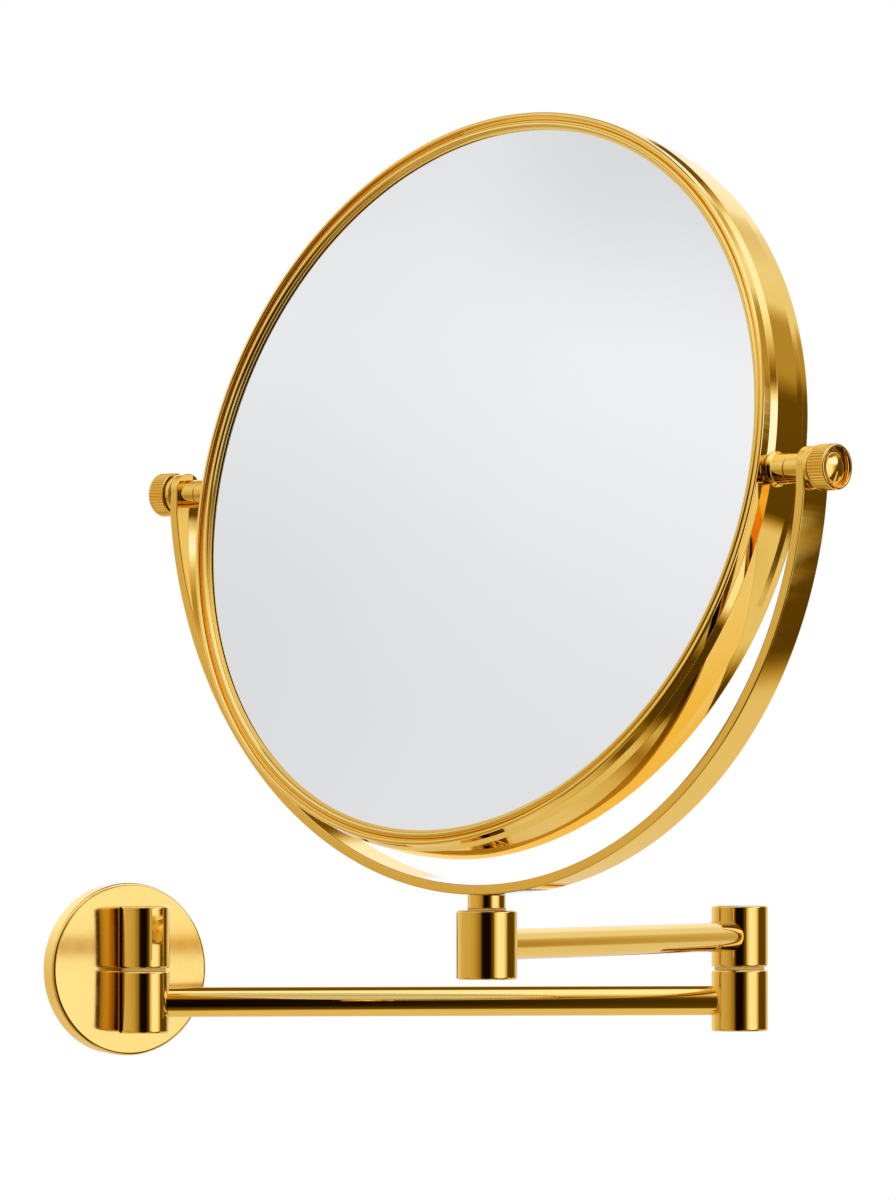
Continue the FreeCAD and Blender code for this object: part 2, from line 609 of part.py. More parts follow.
for number, edge in enumerate(yoke.Tip.Shape.Edges, 1):
    if all(abs(abs(vertex.Y) - size("yoke_width") / 2) < NEAR for vertex in edge.Vertexes):
        if abs(edge.Vertexes[0].Y - edge.Vertexes[-1].Y) < NEAR and edge.Length > size("yoke_radius"):
            side_edges.append(f"Edge{number}")
bevel = yoke.newObject("PartDesign::Chamfer", "yoke_bevel")
bevel.Base = (bevel.BaseFeature, side_edges)
bevel.setExpression("Size", linked("yoke_edge"))
doc.recompute()
holes = circles(yoke, "ear_holes", "YZ_Plane", (("0", "0"),), "sleeve_d / 2 + fit_play")
pocket(yoke, "ear_cut", holes, "yoke_radius * 4", both=True)
holes = circles(yoke, "stem_hole", "XY_Plane", (("0", "0"),), "spigot_d / 2 + fit_play")
pocket(yoke, "stem_cut", holes, "yoke_radius * 2", forward=False)

# Mirror frame: the band, two bezels and what they hold
BAND_BORE = "frame_d / 2 - band_wall"
BAND_LOW = "seam - rear_glass"
BAND_HIGH = "front_glass - seam"
BAND_EDGE = "frame_d / 2 - band_taper"
band = turned(
    "frame_band",
    FRONT,
    (
        (BAND_BORE, BAND_LOW),
        (BAND_EDGE, BAND_LOW),
        ("frame_d / 2", f"{BAND_LOW} + taper_depth"),
        ("frame_d / 2", f"{BAND_HIGH} - taper_depth"),
        (BAND_EDGE, BAND_HIGH),
        (BAND_BORE, BAND_HIGH),
    ),
)
holes = circles(band, "boss_holes", "YZ_Plane", (("0", "0"),), "spigot_end_d / 2 + fit_play")
pocket(band, "boss_cut", holes, "frame_d * 2", both=True)


def bezel(label, frame, glass):
    """Turn a bezel: a lip over the glass, two rolls with a groove between, a flank and an inner ring."""
    inner = "view_d / 2"
    roll = f"{inner} + lip_width"
    groove = f"{roll} + roll_width"
    shoulder = f"{groove} + groove_width"
    skirt = "skirt_d / 2"
    turned(
        label,
        frame,
        (
            (inner, glass),
            (inner, f"lip_thick + {glass}"),
            (roll, f"lip_thick + {glass}"),
            (roll, f"roll_height + {glass}"),
            (groove, f"roll_height + {glass}"),
            (groove, f"groove_height + {glass}"),
            (shoulder, f"groove_height + {glass}"),
            (shoulder, f"crest + {glass}"),
            ("frame_d / 2 - flank_top", f"crest + {glass}"),
            ("frame_d / 2 - flank_foot", f"{glass} - seam"),
            (skirt, f"{glass} - seam"),
            (skirt, f"{glass} - seam - skirt_length"),
            (f"{skirt} - skirt_wall", f"{glass} - seam - skirt_length"),
            (f"{skirt} - skirt_wall", glass),
        ),
        (("roll_round", (3, 4)), ("shoulder_inner", (7,)), ("shoulder_outer", (8,))),
    )


bezel("front_bezel", FRONT, "front_glass")
bezel("rear_bezel", REAR, "rear_glass")

# Magnifying glass: a hollow face and a back of one common centre
lens = new_body("front_mirror", FRONT)
profile = new_sketch(lens, "section", "XZ_Plane")
rim = size("glass_d") / 2
focus = FreeCAD.Vector(0, size("front_glass") + size("curve_rise"), 0)
for radius in (size("mirror_radius"), size("mirror_radius") + size("glass_thick")):
    circle = Part.Circle(focus, FreeCAD.Vector(0, 0, 1), radius)
    profile.addGeometry(Part.ArcOfCircle(circle, -math.pi / 2, math.asin(rim / radius) - math.pi / 2))
face, back = profile.Geometry
profile.addGeometry(Part.LineSegment(face.EndPoint, back.EndPoint))
profile.addGeometry(Part.LineSegment(back.StartPoint, face.StartPoint))
profile.addConstraint(Sketcher.Constraint("Coincident", 0, 2, 2, 1))
profile.addConstraint(Sketcher.Constraint("Coincident", 2, 2, 1, 2))
profile.addConstraint(Sketcher.Constraint("Coincident", 1, 1, 3, 1))
profile.addConstraint(Sketcher.Constraint("Coincident", 3, 2, 0, 1))
profile.addConstraint(Sketcher.Constraint("Coincident", 0, 3, 1, 3))
profile.addConstraint(Sketcher.Constraint("PointOnObject", 0, 3, -2))
profile.addConstraint(Sketcher.Constraint("PointOnObject", 0, 1, -2))
profile.addConstraint(Sketcher.Constraint("PointOnObject", 1, 1, -2))
profile.addConstraint(Sketcher.Constraint("Vertical", 2))
tie(profile, "Radius", (0,), "mirror_radius", size("mirror_radius"))
tie(profile, "Radius", (1,), "mirror_radius + glass_thick", size("mirror_radius") + size("glass_thick"))
tie_point(profile, 2, 1, "glass_d / 2", "front_glass", face.EndPoint)
blank = lens.newObject("PartDesign::Revolution", "front_mirror_turn")
blank.Profile = profile
blank.ReferenceAxis = (profile, ["V_Axis"])
blank.Angle = 360
doc.recompute()

# Plane glass, its backing sheet and the ring that keeps the two glasses apart
SPACER_IN = "glass_d / 2 - spacer_width"
SHEET_TOP = "sheet_back + sheet_thick"
LENS_BACK = "front_glass + curve_rise - fit_play - sqrt(pow(mirror_radius + glass_thick; 2) - pow(%s; 2))"
disc("rear_mirror", REAR, "glass_d / 2", SHEET_TOP, "rear_glass")
disc("backing_sheet", REAR, f"{SPACER_IN} - loose_play", "sheet_back", SHEET_TOP)
turned(
    "mirror_spacer_ring",
    FRONT,
    (
        (SPACER_IN, f"-({SHEET_TOP})"),
        ("glass_d / 2", f"-({SHEET_TOP})"),
        ("glass_d / 2", LENS_BACK % "glass_d / 2"),
        (SPACER_IN, LENS_BACK % SPACER_IN),
    ),
)

# Tilt pivots: boss, bush, washer and clamp knob on each side
THREAD = "shank_d / 2 + fit_play"
CLEAR = "shank_d / 2 + loose_play"
BOSS_IN = "frame_d / 2 - band_wall - boss_end"
DISH = "knob_out - knob_dish"
for side, angle in SIDES:
    outward = turned_by(AXIS_Y, angle)
    turned(
        f"{side}_boss",
        chain(HEAD, outward),
        (
            (THREAD, BOSS_IN),
            ("spigot_end_d / 2", BOSS_IN),
            ("spigot_end_d / 2", "frame_d / 2"),
            ("boss_foot_d / 2", "frame_d / 2"),
            ("boss_foot_d / 2", "frame_d / 2 + boss_foot"),
            ("boss_d / 2", "frame_d / 2 + boss_flare"),
            ("boss_d / 2", "boss_out"),
            (THREAD, "boss_out"),
        ),
    )
    turned(
        f"{side}_ear_bush",
        chain(YOKE, outward),
        (
            (CLEAR, "boss_out + loose_play"),
            ("boss_d / 2", "boss_out + loose_play"),
            ("boss_d / 2", "ear_in"),
            ("sleeve_d / 2", "ear_in"),
            ("sleeve_d / 2", "ear_out"),
            (CLEAR, "ear_out"),
        ),
    )
    washer_top = "ear_out + washer_thick"
    ring(f"{side}_knob_washer", chain(YOKE, outward), CLEAR, "washer_d / 2", "ear_out", washer_top)
    knob = turned(
        f"{side}_knob",
        chain(HEAD, outward),
        (
            ("0", "frame_d / 2 + shank_short"),
            ("shank_d / 2", "frame_d / 2 + shank_short"),
            ("shank_d / 2", "knob_in"),
            ("knob_neck_d / 2", "knob_in"),
            ("knob_neck_d / 2", "knob_in + knob_neck"),
            ("knob_d / 2", "knob_in + knob_neck"),
            ("knob_d / 2", "knob_out"),
            ("knob_mouth_d / 2", "knob_out"),
            ("knob_floor_d / 2", DISH),
            ("knob_dome_d / 2", DISH),
            ("knob_dome_d / 2", f"{DISH} + knob_dome"),
            ("0", f"{DISH} + knob_dome"),
        ),
        (("knob_face_round", (5,)), ("knob_rim_round", (6,)), ("knob_dome_round", (10,))),
    )
    flute = outline(
        knob,
        "flute",
        "XY_Plane",
        (
            ("knob_d / 2 - knurl_depth", "0"),
            ("knob_d / 2 + knurl_depth", "-knurl_half"),
            ("knob_d / 2 + knurl_depth", "knurl_half"),
        ),
        "knob_in + knob_neck",
    )
    cut = pocket(knob, "flute_cut", flute, "knurl_length")
    knurl = knob.newObject("PartDesign::PolarPattern", f"{side}_knob_knurl")
    knurl.Originals = [cut]
    knurl.Axis = (next(axis for axis in knob.Origin.OriginFeatures if axis.Role == "Z_Axis"), [""])
    knurl.Angle = 360
    knurl.setExpression("Occurrences", linked("knurl_count"))
    knob.Tip = knurl
    doc.recompute()

# Write one file per piece once every feature is sound
doc.recompute()
for thing in doc.Objects:
    if "Invalid" in thing.State or "Error" in thing.State:
        raise RuntimeError(f"{thing.Name} did not build: {thing.State}")
for body in NODES:
    shape = body.Shape
    if shape.isNull() or not shape.isValid() or len(shape.Solids) != 1:
        raise RuntimeError(f"{body.Label} is not one sound solid")
    shape.exportStep(f"parts/{body.Label}.step")
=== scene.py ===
import json
import math

import bpy
import numpy as np
from bpy.props import FloatProperty, FloatVectorProperty, IntProperty, PointerProperty
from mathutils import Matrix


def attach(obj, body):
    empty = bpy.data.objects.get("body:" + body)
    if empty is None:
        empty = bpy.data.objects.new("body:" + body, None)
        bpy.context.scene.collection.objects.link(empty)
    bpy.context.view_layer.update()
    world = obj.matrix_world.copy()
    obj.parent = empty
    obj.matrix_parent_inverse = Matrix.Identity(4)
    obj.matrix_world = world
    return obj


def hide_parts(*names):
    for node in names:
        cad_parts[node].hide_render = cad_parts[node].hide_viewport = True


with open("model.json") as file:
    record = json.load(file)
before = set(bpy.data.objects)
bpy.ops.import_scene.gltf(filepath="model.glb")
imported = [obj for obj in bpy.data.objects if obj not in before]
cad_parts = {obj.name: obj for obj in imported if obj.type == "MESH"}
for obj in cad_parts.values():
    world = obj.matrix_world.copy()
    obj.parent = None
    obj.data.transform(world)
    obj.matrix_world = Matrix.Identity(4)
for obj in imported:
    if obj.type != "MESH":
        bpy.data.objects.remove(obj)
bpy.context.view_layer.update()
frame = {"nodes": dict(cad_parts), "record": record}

bl_info = {
    "name": "Swing-Arm Magnifying Mirror",
    "version": (1, 0, 0),
    "blender": (4, 5, 0),
    "location": "3D View > Sidebar > Mirror",
    "description": "Builds a polished gold magnifying mirror on a double swing arm over its CAD frame",
    "category": "Object",
}


# Colours


def to_linear(value):
    """Turn sRGB values between 0 and 1 into linear ones."""
    return np.where(value <= 0.04045, value / 12.92, ((value + 0.055) / 1.055) ** 2.4)


def linear(code):
    """Turn an sRGB hex colour into linear RGBA."""
    value = np.array([int(code[place : place + 2], 16) for place in (1, 3, 5)]) / 255
    return (*to_linear(value).tolist(), 1.0)


# Sizes and colours that a user would change


def length(name, millimetres, description):
    """A size property, given in millimetres and kept in metres."""
    return FloatProperty(
        name=name, description=description, default=millimetres / 1000, unit="LENGTH", precision=5
    )


def angle(name, degrees, description):
    """An angle property, given in degrees and kept in radians."""
    return FloatProperty(name=name, description=description, default=math.radians(degrees), unit="ROTATION")


def colour(name, code, description):
    """A colour property, given as sRGB hex and kept linear."""
    return FloatVectorProperty(
        name=name, description=description, default=linear(code), size=4, min=0, max=1, subtype="COLOR"
    )


class ArmSizes(bpy.types.PropertyGroup):
    """Wall plate, barrels and arm tubes."""

    plate_radius: length("Plate radius", 28.7, "Outer radius of the wall plate")
    plate_depth: length("Plate depth", 7.9, "Depth of the wall plate from the wall")
    plate_wall: length("Plate wall", 2.2, "Thickness of the wall plate's skirt")
    plate_face: length("Plate face", 1.8, "Thickness of the wall plate's face")
    plate_dome: length("Plate dome", 0.9, "How far the wall plate's face falls from its centre to its edge")
    plate_round: length("Plate rounding", 1.2, "Rounding of the wall plate's front edge")
    plate_edge: length("Plate edge", 0.15, "Rounding of the wall plate's other edges")
    axis_out: length("Wall axis", 17.0, "Distance of the wall joint's axis from the wall")
    wall_barrel: length("Wall barrel radius", 8.5, "Radius of the two barrels on the wall")
    barrel: length("Barrel radius", 9.6, "Radius of the elbow barrels and the post barrel")
    barrel_height: length("Barrel height", 20.6, "Height of one barrel of a pair")
    barrel_gap: length("Barrel gap", 0.9, "Groove between two stacked barrels")
    barrel_round: length("Barrel rounding", 0.8, "Rounding of the barrels' end edges")
    post_height: length("Post height", 21.6, "Height of the post barrel")
    tube: length("Tube radius", 5.0, "Outer radius of the arm tubes")
    tube_wall: length("Tube wall", 1.0, "Wall of the arm tubes")
    tube_inset: length("Tube inset", 5.2, "Distance of a tube's end from its barrel's axis")
    tube_edge: length("Tube edge", 0.1, "Rounding of the tubes' end edges")
    arm: length("Arm length", 200.0, "Distance between the axes at the two ends of an arm")
    lower_turn: angle("Lower arm", -22.5, "Direction of the lower arm about the vertical")
    upper_turn: angle("Upper arm", -145.0, "Direction of the upper arm about the vertical")


class HeadSizes(bpy.types.PropertyGroup):
    """Yoke, mirror frame, pivots and knobs."""

    yoke_turn: angle("Yoke turn", -72.4, "Direction of the right ear about the vertical")
    tilt: angle("Tilt", 12.4, "Tilt of the mirror, face up")
    stem: length("Stem radius", 6.0, "Radius of the collar under the yoke")
    stem_height: length("Stem height", 4.7, "Distance from the post barrel to the yoke")
    washer_thick: length("Thrust washer", 0.5, "Thickness of the washer under the collar")
    fine_edge: length("Fine edge", 0.1, "Rounding of edges that look sharp")
    soft_edge: length("Soft edge", 0.2, "Rounding of edges that are just broken")
    turned_edge: length("Turned edge", 0.25, "Rounding of the end edges of collar, bosses and bushes")
    yoke_radius: length("Yoke radius", 130.8, "Inner radius of the yoke's arc")
    yoke_rise: length("Yoke rise", 5.45, "Height of the arc's centre above the tilt axis")
    yoke_thick: length("Yoke thickness", 3.2, "Thickness of the yoke's strip")
    yoke_width: length("Yoke width", 11.3, "Width of the yoke's strip")
    yoke_edge: length("Yoke edge", 0.4, "Rounding along the strip's edges")
    ear_below: length("Ear below", 7.0, "Straight part of an ear below the tilt axis")
    ear_above: length("Ear above", 6.6, "Height of an ear above the tilt axis")
    frame_radius: length("Frame radius", 118.1, "Outer radius of the mirror frame")
    front: length("Front crest", 8.0, "Front crest of the frame before the tilt axis")
    rear: length("Rear crest", 13.967, "Rear crest of the frame behind the tilt axis")
    crest: length("Crest", 2.6, "Height of a bezel's outer roll above the glass")
    bezel_width: length("Bezel width", 5.8, "Width of a bezel from the glass to the frame's radius")
    lip: length("Lip width", 0.6, "Width of a bezel's thin lip on the glass")
    roll: length("Roll width", 2.5, "Width of a bezel's inner roll")
    roll_height: length("Roll height", 2.0, "Height of a bezel's inner roll above the glass")
    groove: length("Groove width", 0.6, "Width of the groove between a bezel's rolls")
    groove_floor: length("Groove floor", 0.5, "Height of the groove's floor above the glass")
    lip_height: length("Lip height", 0.45, "Height of a bezel's lip above the glass")
    lip_edge: length("Lip edge", 0.08, "Rounding of a lip's edge on the glass")
    roll_round: length("Roll rounding", 1.3, "Rounding of a bezel's inner roll")
    crest_round: length("Crest rounding", 0.75, "Rounding of a bezel's outer crest")
    shoulder_round: length("Shoulder rounding", 0.6, "Rounding of the outer roll beside the groove")
    flank_top: length("Flank top", 0.7, "How far a bezel's leaning flank starts inside the frame's radius")
    flank_foot: length("Flank foot", 0.6, "How far a bezel's leaning flank ends inside the frame's radius")
    seam: length("Seam", 0.9, "Distance of the bezel seam behind the glass")
    band_wall: length("Band wall", 1.5, "Thickness of the band")
    band_taper: length("Band taper", 0.7, "How far the band's front edge is drawn in")
    rear_taper: length("Rear taper", 0.14, "How far the band's rear edge is drawn in")
    taper_round: length("Taper rounding", 1.0, "Rounding where the band's tapered strips start")
    taper_depth: length("Taper depth", 2.7, "Width of the tapered strip along each edge of the band")
    glass: length("Glass radius", 115.4, "Radius of the two glasses")
    glass_thick: length("Glass thickness", 3.0, "Thickness of the two glasses")
    curve: length("Mirror curve", 800.0, "Radius of the magnifying glass's hollow face")
    boss: length("Boss radius", 4.5, "Radius of the frame bosses and ear bushes")
    boss_foot: length("Boss foot", 5.4, "Radius of a boss where it meets the band")
    boss_length: length("Boss length", 6.0, "Length of a boss")
    boss_sink: length("Boss sink", 0.4, "How far a boss's foot goes into the band and stands out of it")
    boss_flare: length("Boss flare", 1.4, "Height of a boss's flared foot over the band")
    flare_draft: length("Flare draft", 0.1, "How much wider than the boss the flare ends")
    flare_round: length("Flare rounding", 1.2, "Rounding of the flared foot")
    washer_bore: length("Washer bore", 2.6, "Bore radius of the washer under a knob")
    washer_edge: length("Washer edge", 0.3, "Rounding of the washer under a knob")
    play: length("Play", 0.15, "Gap between pieces that turn on each other")
    washer: length("Knob washer", 6.4, "Radius of the washer under a knob")
    knob_washer: length("Knob washer thickness", 1.6, "Thickness of the washer under a knob")
    knob: length("Knob radius", 7.0, "Radius of a clamp knob")
    knob_length: length("Knob length", 6.9, "Length of a clamp knob")
    knob_neck: length("Knob neck", 0.5, "Length of the narrow neck beside the washer")
    neck: length("Neck radius", 5.0, "Radius of the narrow neck beside the washer")
    knurl_length: length("Knurl length", 5.6, "Length of the straight knurl")
    knob_rim: length("Knob rim", 0.8, "Width of the rim round the dished end")
    knob_dish: length("Knob dish", 2.6, "Depth of the dished end")
    knob_centre: length("Knob centre", 4.7, "Radius of the domed centre of the dished end")
    knob_curve: length("Knob curve", 10.0, "Radius of the domed centre's curve")
    knob_dome: length("Knob dome", 2.7, "Height of the domed centre above the dish")
    dome_edge: length("Dome edge", 0.6, "Rounding of the domed centre's edge")
    knob_edge: length("Knob edge", 0.4, "Rounding of a knob's inner edge and of its dish")
    rim_round: length("Rim rounding", 0.5, "Rounding of a knob's outer edge")
    stub: length("Stub radius", 2.5, "Radius of the threaded stub behind a knob")
    stub_length: length("Stub length", 4.0, "Length of the threaded stub behind a knob")
    knurl_depth: length("Knurl depth", 0.55, "Depth of a flute of the knurl")
    knurl_start: length("Knurl start", 0.3, "Plain length before the flutes start")
    knurl_ring: length("Knurl ring", 0.75, "Distance of a ring of points from the knurl's inner end")
    flutes: IntProperty(
        name="Flutes", description="Number of flutes round a knob", default=44, min=12, max=80
    )


class FinishColours(bpy.types.PropertyGroup):
    """Colours of the finishes."""

    gold: colour("Gold", "#F9DA84", "Polished gold plate")
    gold_deep: colour("Deep gold", "#F5D37B", "Slightly deeper patches of the plate")
    glass: colour("Mirror", "#F3F4F6", "Silvered glass")
    glass_film: colour("Mirror film", "#F1F2F4", "Faint film of dust on the glass")
    steel: colour("Steel", "#B9BABB", "Zinc-plated screws, bracket and spring washers")
    nylon: colour("Nylon", "#F0CB7A", "Friction washers in the grooves")
    plastic: colour("Plastic", "#DDDDD8", "Foamed plastic inside the head")
    floor: colour("Floor", "#F4F4F2", "Pale studio floor")
    floor_worn: colour("Worn floor", "#EFEFED", "Slightly darker patches of the floor")


# Frames of the moving groups, as 4 by 4 matrices in metres


def shift(x=0.0, y=0.0, z=0.0):
    """Move along the three axes."""
    matrix = np.eye(4)
    matrix[:3, 3] = (x, y, z)
    return matrix


def turn(axis, amount):
    """Turn by an angle about the axis X, Y or Z."""
    first, second = {"X": (1, 2), "Y": (2, 0), "Z": (0, 1)}[axis]
    matrix = np.eye(4)
    matrix[first, first] = matrix[second, second] = math.cos(amount)
    matrix[first, second] = -math.sin(amount)
    matrix[second, first] = math.sin(amount)
    return matrix


def frames(context):
    """Every group's own frame, worked out along the chain from the wall to the mirror."""
    arm = context.scene.mirror_arm
    head = context.scene.mirror_head
    level = (arm.barrel_height + arm.barrel_gap) / 2
    wall = shift(y=-arm.axis_out)
    lower = wall @ turn("Z", arm.lower_turn)
    elbow = lower @ shift(x=arm.arm)
    upper = elbow @ turn("Z", arm.upper_turn - arm.lower_turn) @ shift(z=level)
    post = upper @ shift(x=arm.arm) @ turn("Z", head.yoke_turn - arm.upper_turn)
    drop = arm.post_height / 2 + head.stem_height + head.yoke_thick + head.yoke_radius - head.yoke_rise
    yoke = post @ shift(z=drop)
    tilted = yoke @ turn("X", -head.tilt)
    quarter = math.pi / 2
    return {
        "plate": turn("X", quarter),
        "wall_upper": wall @ shift(z=level),
        "lower": lower @ shift(z=-level),
        "elbow_lower": elbow @ shift(z=-level),
        "upper": upper,
        "post": post,
        "yoke": yoke,
        "front": tilted @ turn("X", quarter),
        "rear": tilted @ turn("X", -quarter),
        "right_ear": yoke @ turn("Y", quarter),
        "left_ear": yoke @ turn("Y", -quarter),
        "right_pivot": tilted @ turn("Y", quarter),
        "left_pivot": tilted @ turn("Y", -quarter),
    }


# Surfaces

# points round a turned piece, more where its outline shows large
SMALL_ROUND = 96
BARREL_ROUND = 144
PLATE_ROUND = 192
GLASS_ROUND = 240
FRAME_ROUND = 360
# points across one flute of a knob, and along one rounding of a bezel
FLUTE_POINTS = 8
BEZEL_STEPS = 9


def rounded_outline(corners, closed, steps=7):
    """Round every corner of an outline.

    Corners are (radius from the axis, height, rounding) and run anticlockwise, so the metal lies on the
    left. Each rounding is an arc tangent to both neighbouring edges: its points are the arc's centre plus the
    rounding times the unit normal, which swings evenly from one edge's normal to the next one's. An open
    outline keeps its two ends as they are. The points and their outward normals are returned.
    """
    table = np.array(corners, dtype=float)
    place, radius = table[:, :2], table[:, 2]
    ahead = np.roll(place, -1, axis=0) - place
    ahead /= np.linalg.norm(ahead, axis=1, keepdims=True)
    behind = np.roll(ahead, 1, axis=0)
    swing = np.arctan2(
        behind[:, 0] * ahead[:, 1] - behind[:, 1] * ahead[:, 0], (behind * ahead).sum(axis=1)
    )
    side = np.sign(swing)
    start_normal = np.stack([behind[:, 1], -behind[:, 0]], axis=1)
    tangent = place - behind * (radius * np.tan(np.abs(swing) / 2))[:, None]
    centre = tangent - start_normal * (side * radius)[:, None]
    share = np.linspace(0, 1, steps)
    heading = np.arctan2(start_normal[:, 1], start_normal[:, 0])[:, None] + swing[:, None] * share
    normal = np.stack([np.cos(heading), np.sin(heading)], axis=2)
    points = centre[:, None] + normal * (side * radius)[:, None, None]
    if closed:
        return points.reshape(-1, 2), normal.reshape(-1, 2)
    first = np.array([[ahead[0, 1], -ahead[0, 0]]])
    last = np.array([[ahead[-2, 1], -ahead[-2, 0]]])
    points = np.concatenate([place[:1], points[1:-1].reshape(-1, 2), place[-1:]])
    normal = np.concatenate([first, normal[1:-1].reshape(-1, 2), last])
    return points, normal


def grid_quads(rows, columns, close_rows):
    """Corner numbers of a grid's faces; its columns close on themselves, and its rows too if asked."""
    row = np.arange(rows if close_rows else rows - 1)[:, None]
    column = np.arange(columns)[None, :]
    below = row * columns
    above = ((row + 1) % rows) * columns
    right = (column + 1) % columns
    return np.stack([below + column, below + right, above + right, above + column], axis=2).reshape(-1, 4)


def place_mesh(name, points, faces, matrix, normals=None):
    """Make a smooth mesh object at the origin, with its place worked into its points."""
    points = points @ matrix[:3, :3].T + matrix[:3, 3]
    mesh = bpy.data.meshes.new(name)
    mesh.from_pydata(points.tolist(), [], faces)
    mesh.shade_smooth()
    mesh.update()
    if normals is not None:
        mesh.normals_split_custom_set_from_vertices((normals @ matrix[:3, :3].T).tolist())
    piece = bpy.data.objects.new(name, mesh)
    bpy.context.collection.objects.link(piece)
    return piece


def revolve(name, outline, matrix, count, closed=True, flutes=None):
    """Turn an outline about the height axis.

    Point (row, column) is (r cos a, r sin a, z), with r and z from the outline and a evenly round the
    circle. An open outline starts and ends on the axis, where the rows shrink to one point. Flutes, if given,
    are a function of height, angle and radius that returns the depth taken off and its slope round the
    circle.
    """
    points, normal = outline
    turns = np.arange(count) * (2 * math.pi / count)
    rows, inner = (points, normal) if closed else (points[1:-1], normal[1:-1])
    radius = np.repeat(rows[:, :1], count, axis=1)
    slope = np.zeros_like(radius)
    if flutes is not None:
        depth, slope = flutes(rows[:, 1:], turns[None, :], rows[:, :1])
        radius = radius - depth
    cosine, sine = np.cos(turns)[None, :], np.sin(turns)[None, :]
    height = np.repeat(rows[:, 1:], count, axis=1)
    body = np.stack([radius * cosine, radius * sine, height], axis=2).reshape(-1, 3)
    out = np.repeat(inner[:, :1], count, axis=1)
    round_way = out * slope / np.maximum(radius, 1e-9)
    up = np.repeat(inner[:, 1:], count, axis=1)
    facing = np.stack([out * cosine - round_way * sine, out * sine + round_way * cosine, up], axis=2)
    facing = facing.reshape(-1, 3)
    faces = grid_quads(len(rows), count, closed).tolist()
    if not closed:
        base = len(body)
        poles = np.array([[0, 0, points[0, 1]], [0, 0, points[-1, 1]]])
        body = np.concatenate([body, poles])
        facing = np.concatenate([facing, [[0, 0, normal[0, 1]], [0, 0, normal[-1, 1]]]])
        column = np.arange(count)
        following = (column + 1) % count
        top = (len(rows) - 1) * count
        faces += np.stack([np.full(count, base), following, column], axis=1).tolist()
        faces += np.stack([np.full(count, base + 1), top + column, top + following], axis=1).tolist()
    facing /= np.linalg.norm(facing, axis=1, keepdims=True)
    return place_mesh(name, body, faces, matrix, facing)


def ring_outline(inner, outer, low, high, rounding):
    """Outline of a plain ring or sleeve with lightly rounded edges."""
    corners = [(inner, low), (outer, low), (outer, high), (inner, high)]
    return rounded_outline([(*corner, rounding) for corner in corners], True)


def solid_outline(radius, low, high, rounding):
    """Outline of a plain disc or barrel with rounded edges, from axis to axis."""
    corners = [(0, low, 0), (radius, low, rounding), (radius, high, rounding), (0, high, 0)]
    return rounded_outline(corners, False)


# Materials


def add_node(tree, kind, settings=None, values=None, links=None):
    """Add a node, set its properties and socket values, and link its inputs from other sockets."""
    node = tree.nodes.new(kind)
    for key, value in (settings or {}).items():
        setattr(node, key, value)
    for key, value in (values or {}).items():
        node.inputs[key].default_value = value
    for key, source in (links or {}).items():
        tree.links.new(source, node.inputs[key])
    return node


def start_material(name):
    """Return a new material with its node tree, shader and object coordinates, or an existing one alone."""
    material = bpy.data.materials.get(name)
    if material is not None:
        return material, None, None, None
    material = bpy.data.materials.new(name)
    material.use_nodes = True
    tree = material.node_tree
    shader = tree.nodes["Principled BSDF"]
    place = add_node(tree, "ShaderNodeTexCoord").outputs["Object"]
    return material, tree, shader, place


def per_metre(millimetres):
    """Noise scale whose features are about the given size."""
    return 1000 / millimetres


def add_noise(tree, place, millimetres, detail):
    """Noise whose features are about the given size."""
    values = {"Scale": per_metre(millimetres), "Detail": detail}
    return add_node(tree, "ShaderNodeTexNoise", values=values, links={"Vector": place}).outputs["Fac"]


def vary_colour(tree, shader, pattern, first, second):
    """Let the base colour wander between two close colours."""
    tone = add_node(
        tree,
        "ShaderNodeMix",
        {"data_type": "RGBA"},
        {"A": tuple(first), "B": tuple(second)},
        {"Factor": pattern},
    )
    tree.links.new(tone.outputs["Result"], shader.inputs["Base Color"])


def vary_roughness(tree, shader, pattern, low, high, start=0.0, end=1.0):
    """Let the roughness wander between two limits while the pattern goes from start to end."""
    values = {"From Min": start, "From Max": end, "To Min": low, "To Max": high}
    rough = add_node(tree, "ShaderNodeMapRange", values=values, links={"Value": pattern})
    tree.links.new(rough.outputs["Result"], shader.inputs["Roughness"])


def gold_plate(colours, name="polished_gold_plate", low=0.02, high=0.05):
    """Gold plate on brass: a warm mirror, with faint swirls where it was buffed by hand.

    The wall plate's satin polish is rougher, so that near things show in it and far ones melt together.
    """
    material, tree, shader, place = start_material(name)
    if tree is None:
        return material
    shader.inputs["Metallic"].default_value = 1.0
    vary_colour(tree, shader, add_noise(tree, place, 26, 2.0), colours.gold, colours.gold_deep)
    vary_roughness(tree, shader, add_noise(tree, place, 3.5, 4.0), low, high, start=0.3, end=0.7)
    # the plating shows a very slight ripple, a few millimetres across
    ripple = add_noise(tree, place, 4.0, 1.0)
    values = {"Strength": 0.03, "Distance": 0.00002}
    bump = add_node(tree, "ShaderNodeBump", values=values, links={"Height": ripple})
    tree.links.new(bump.outputs["Normal"], shader.inputs["Normal"])
    return material


def silvered_glass(colours):
    """Silvered mirror glass: a clean cold mirror with the faintest film of dust."""
    material, tree, shader, place = start_material("silvered_mirror_glass")
    if tree is None:
        return material
    shader.inputs["Metallic"].default_value = 1.0
    shader.inputs["Roughness"].default_value = 0.0
    vary_colour(tree, shader, add_noise(tree, place, 40, 3.0), colours.glass, colours.glass_film)
    return material


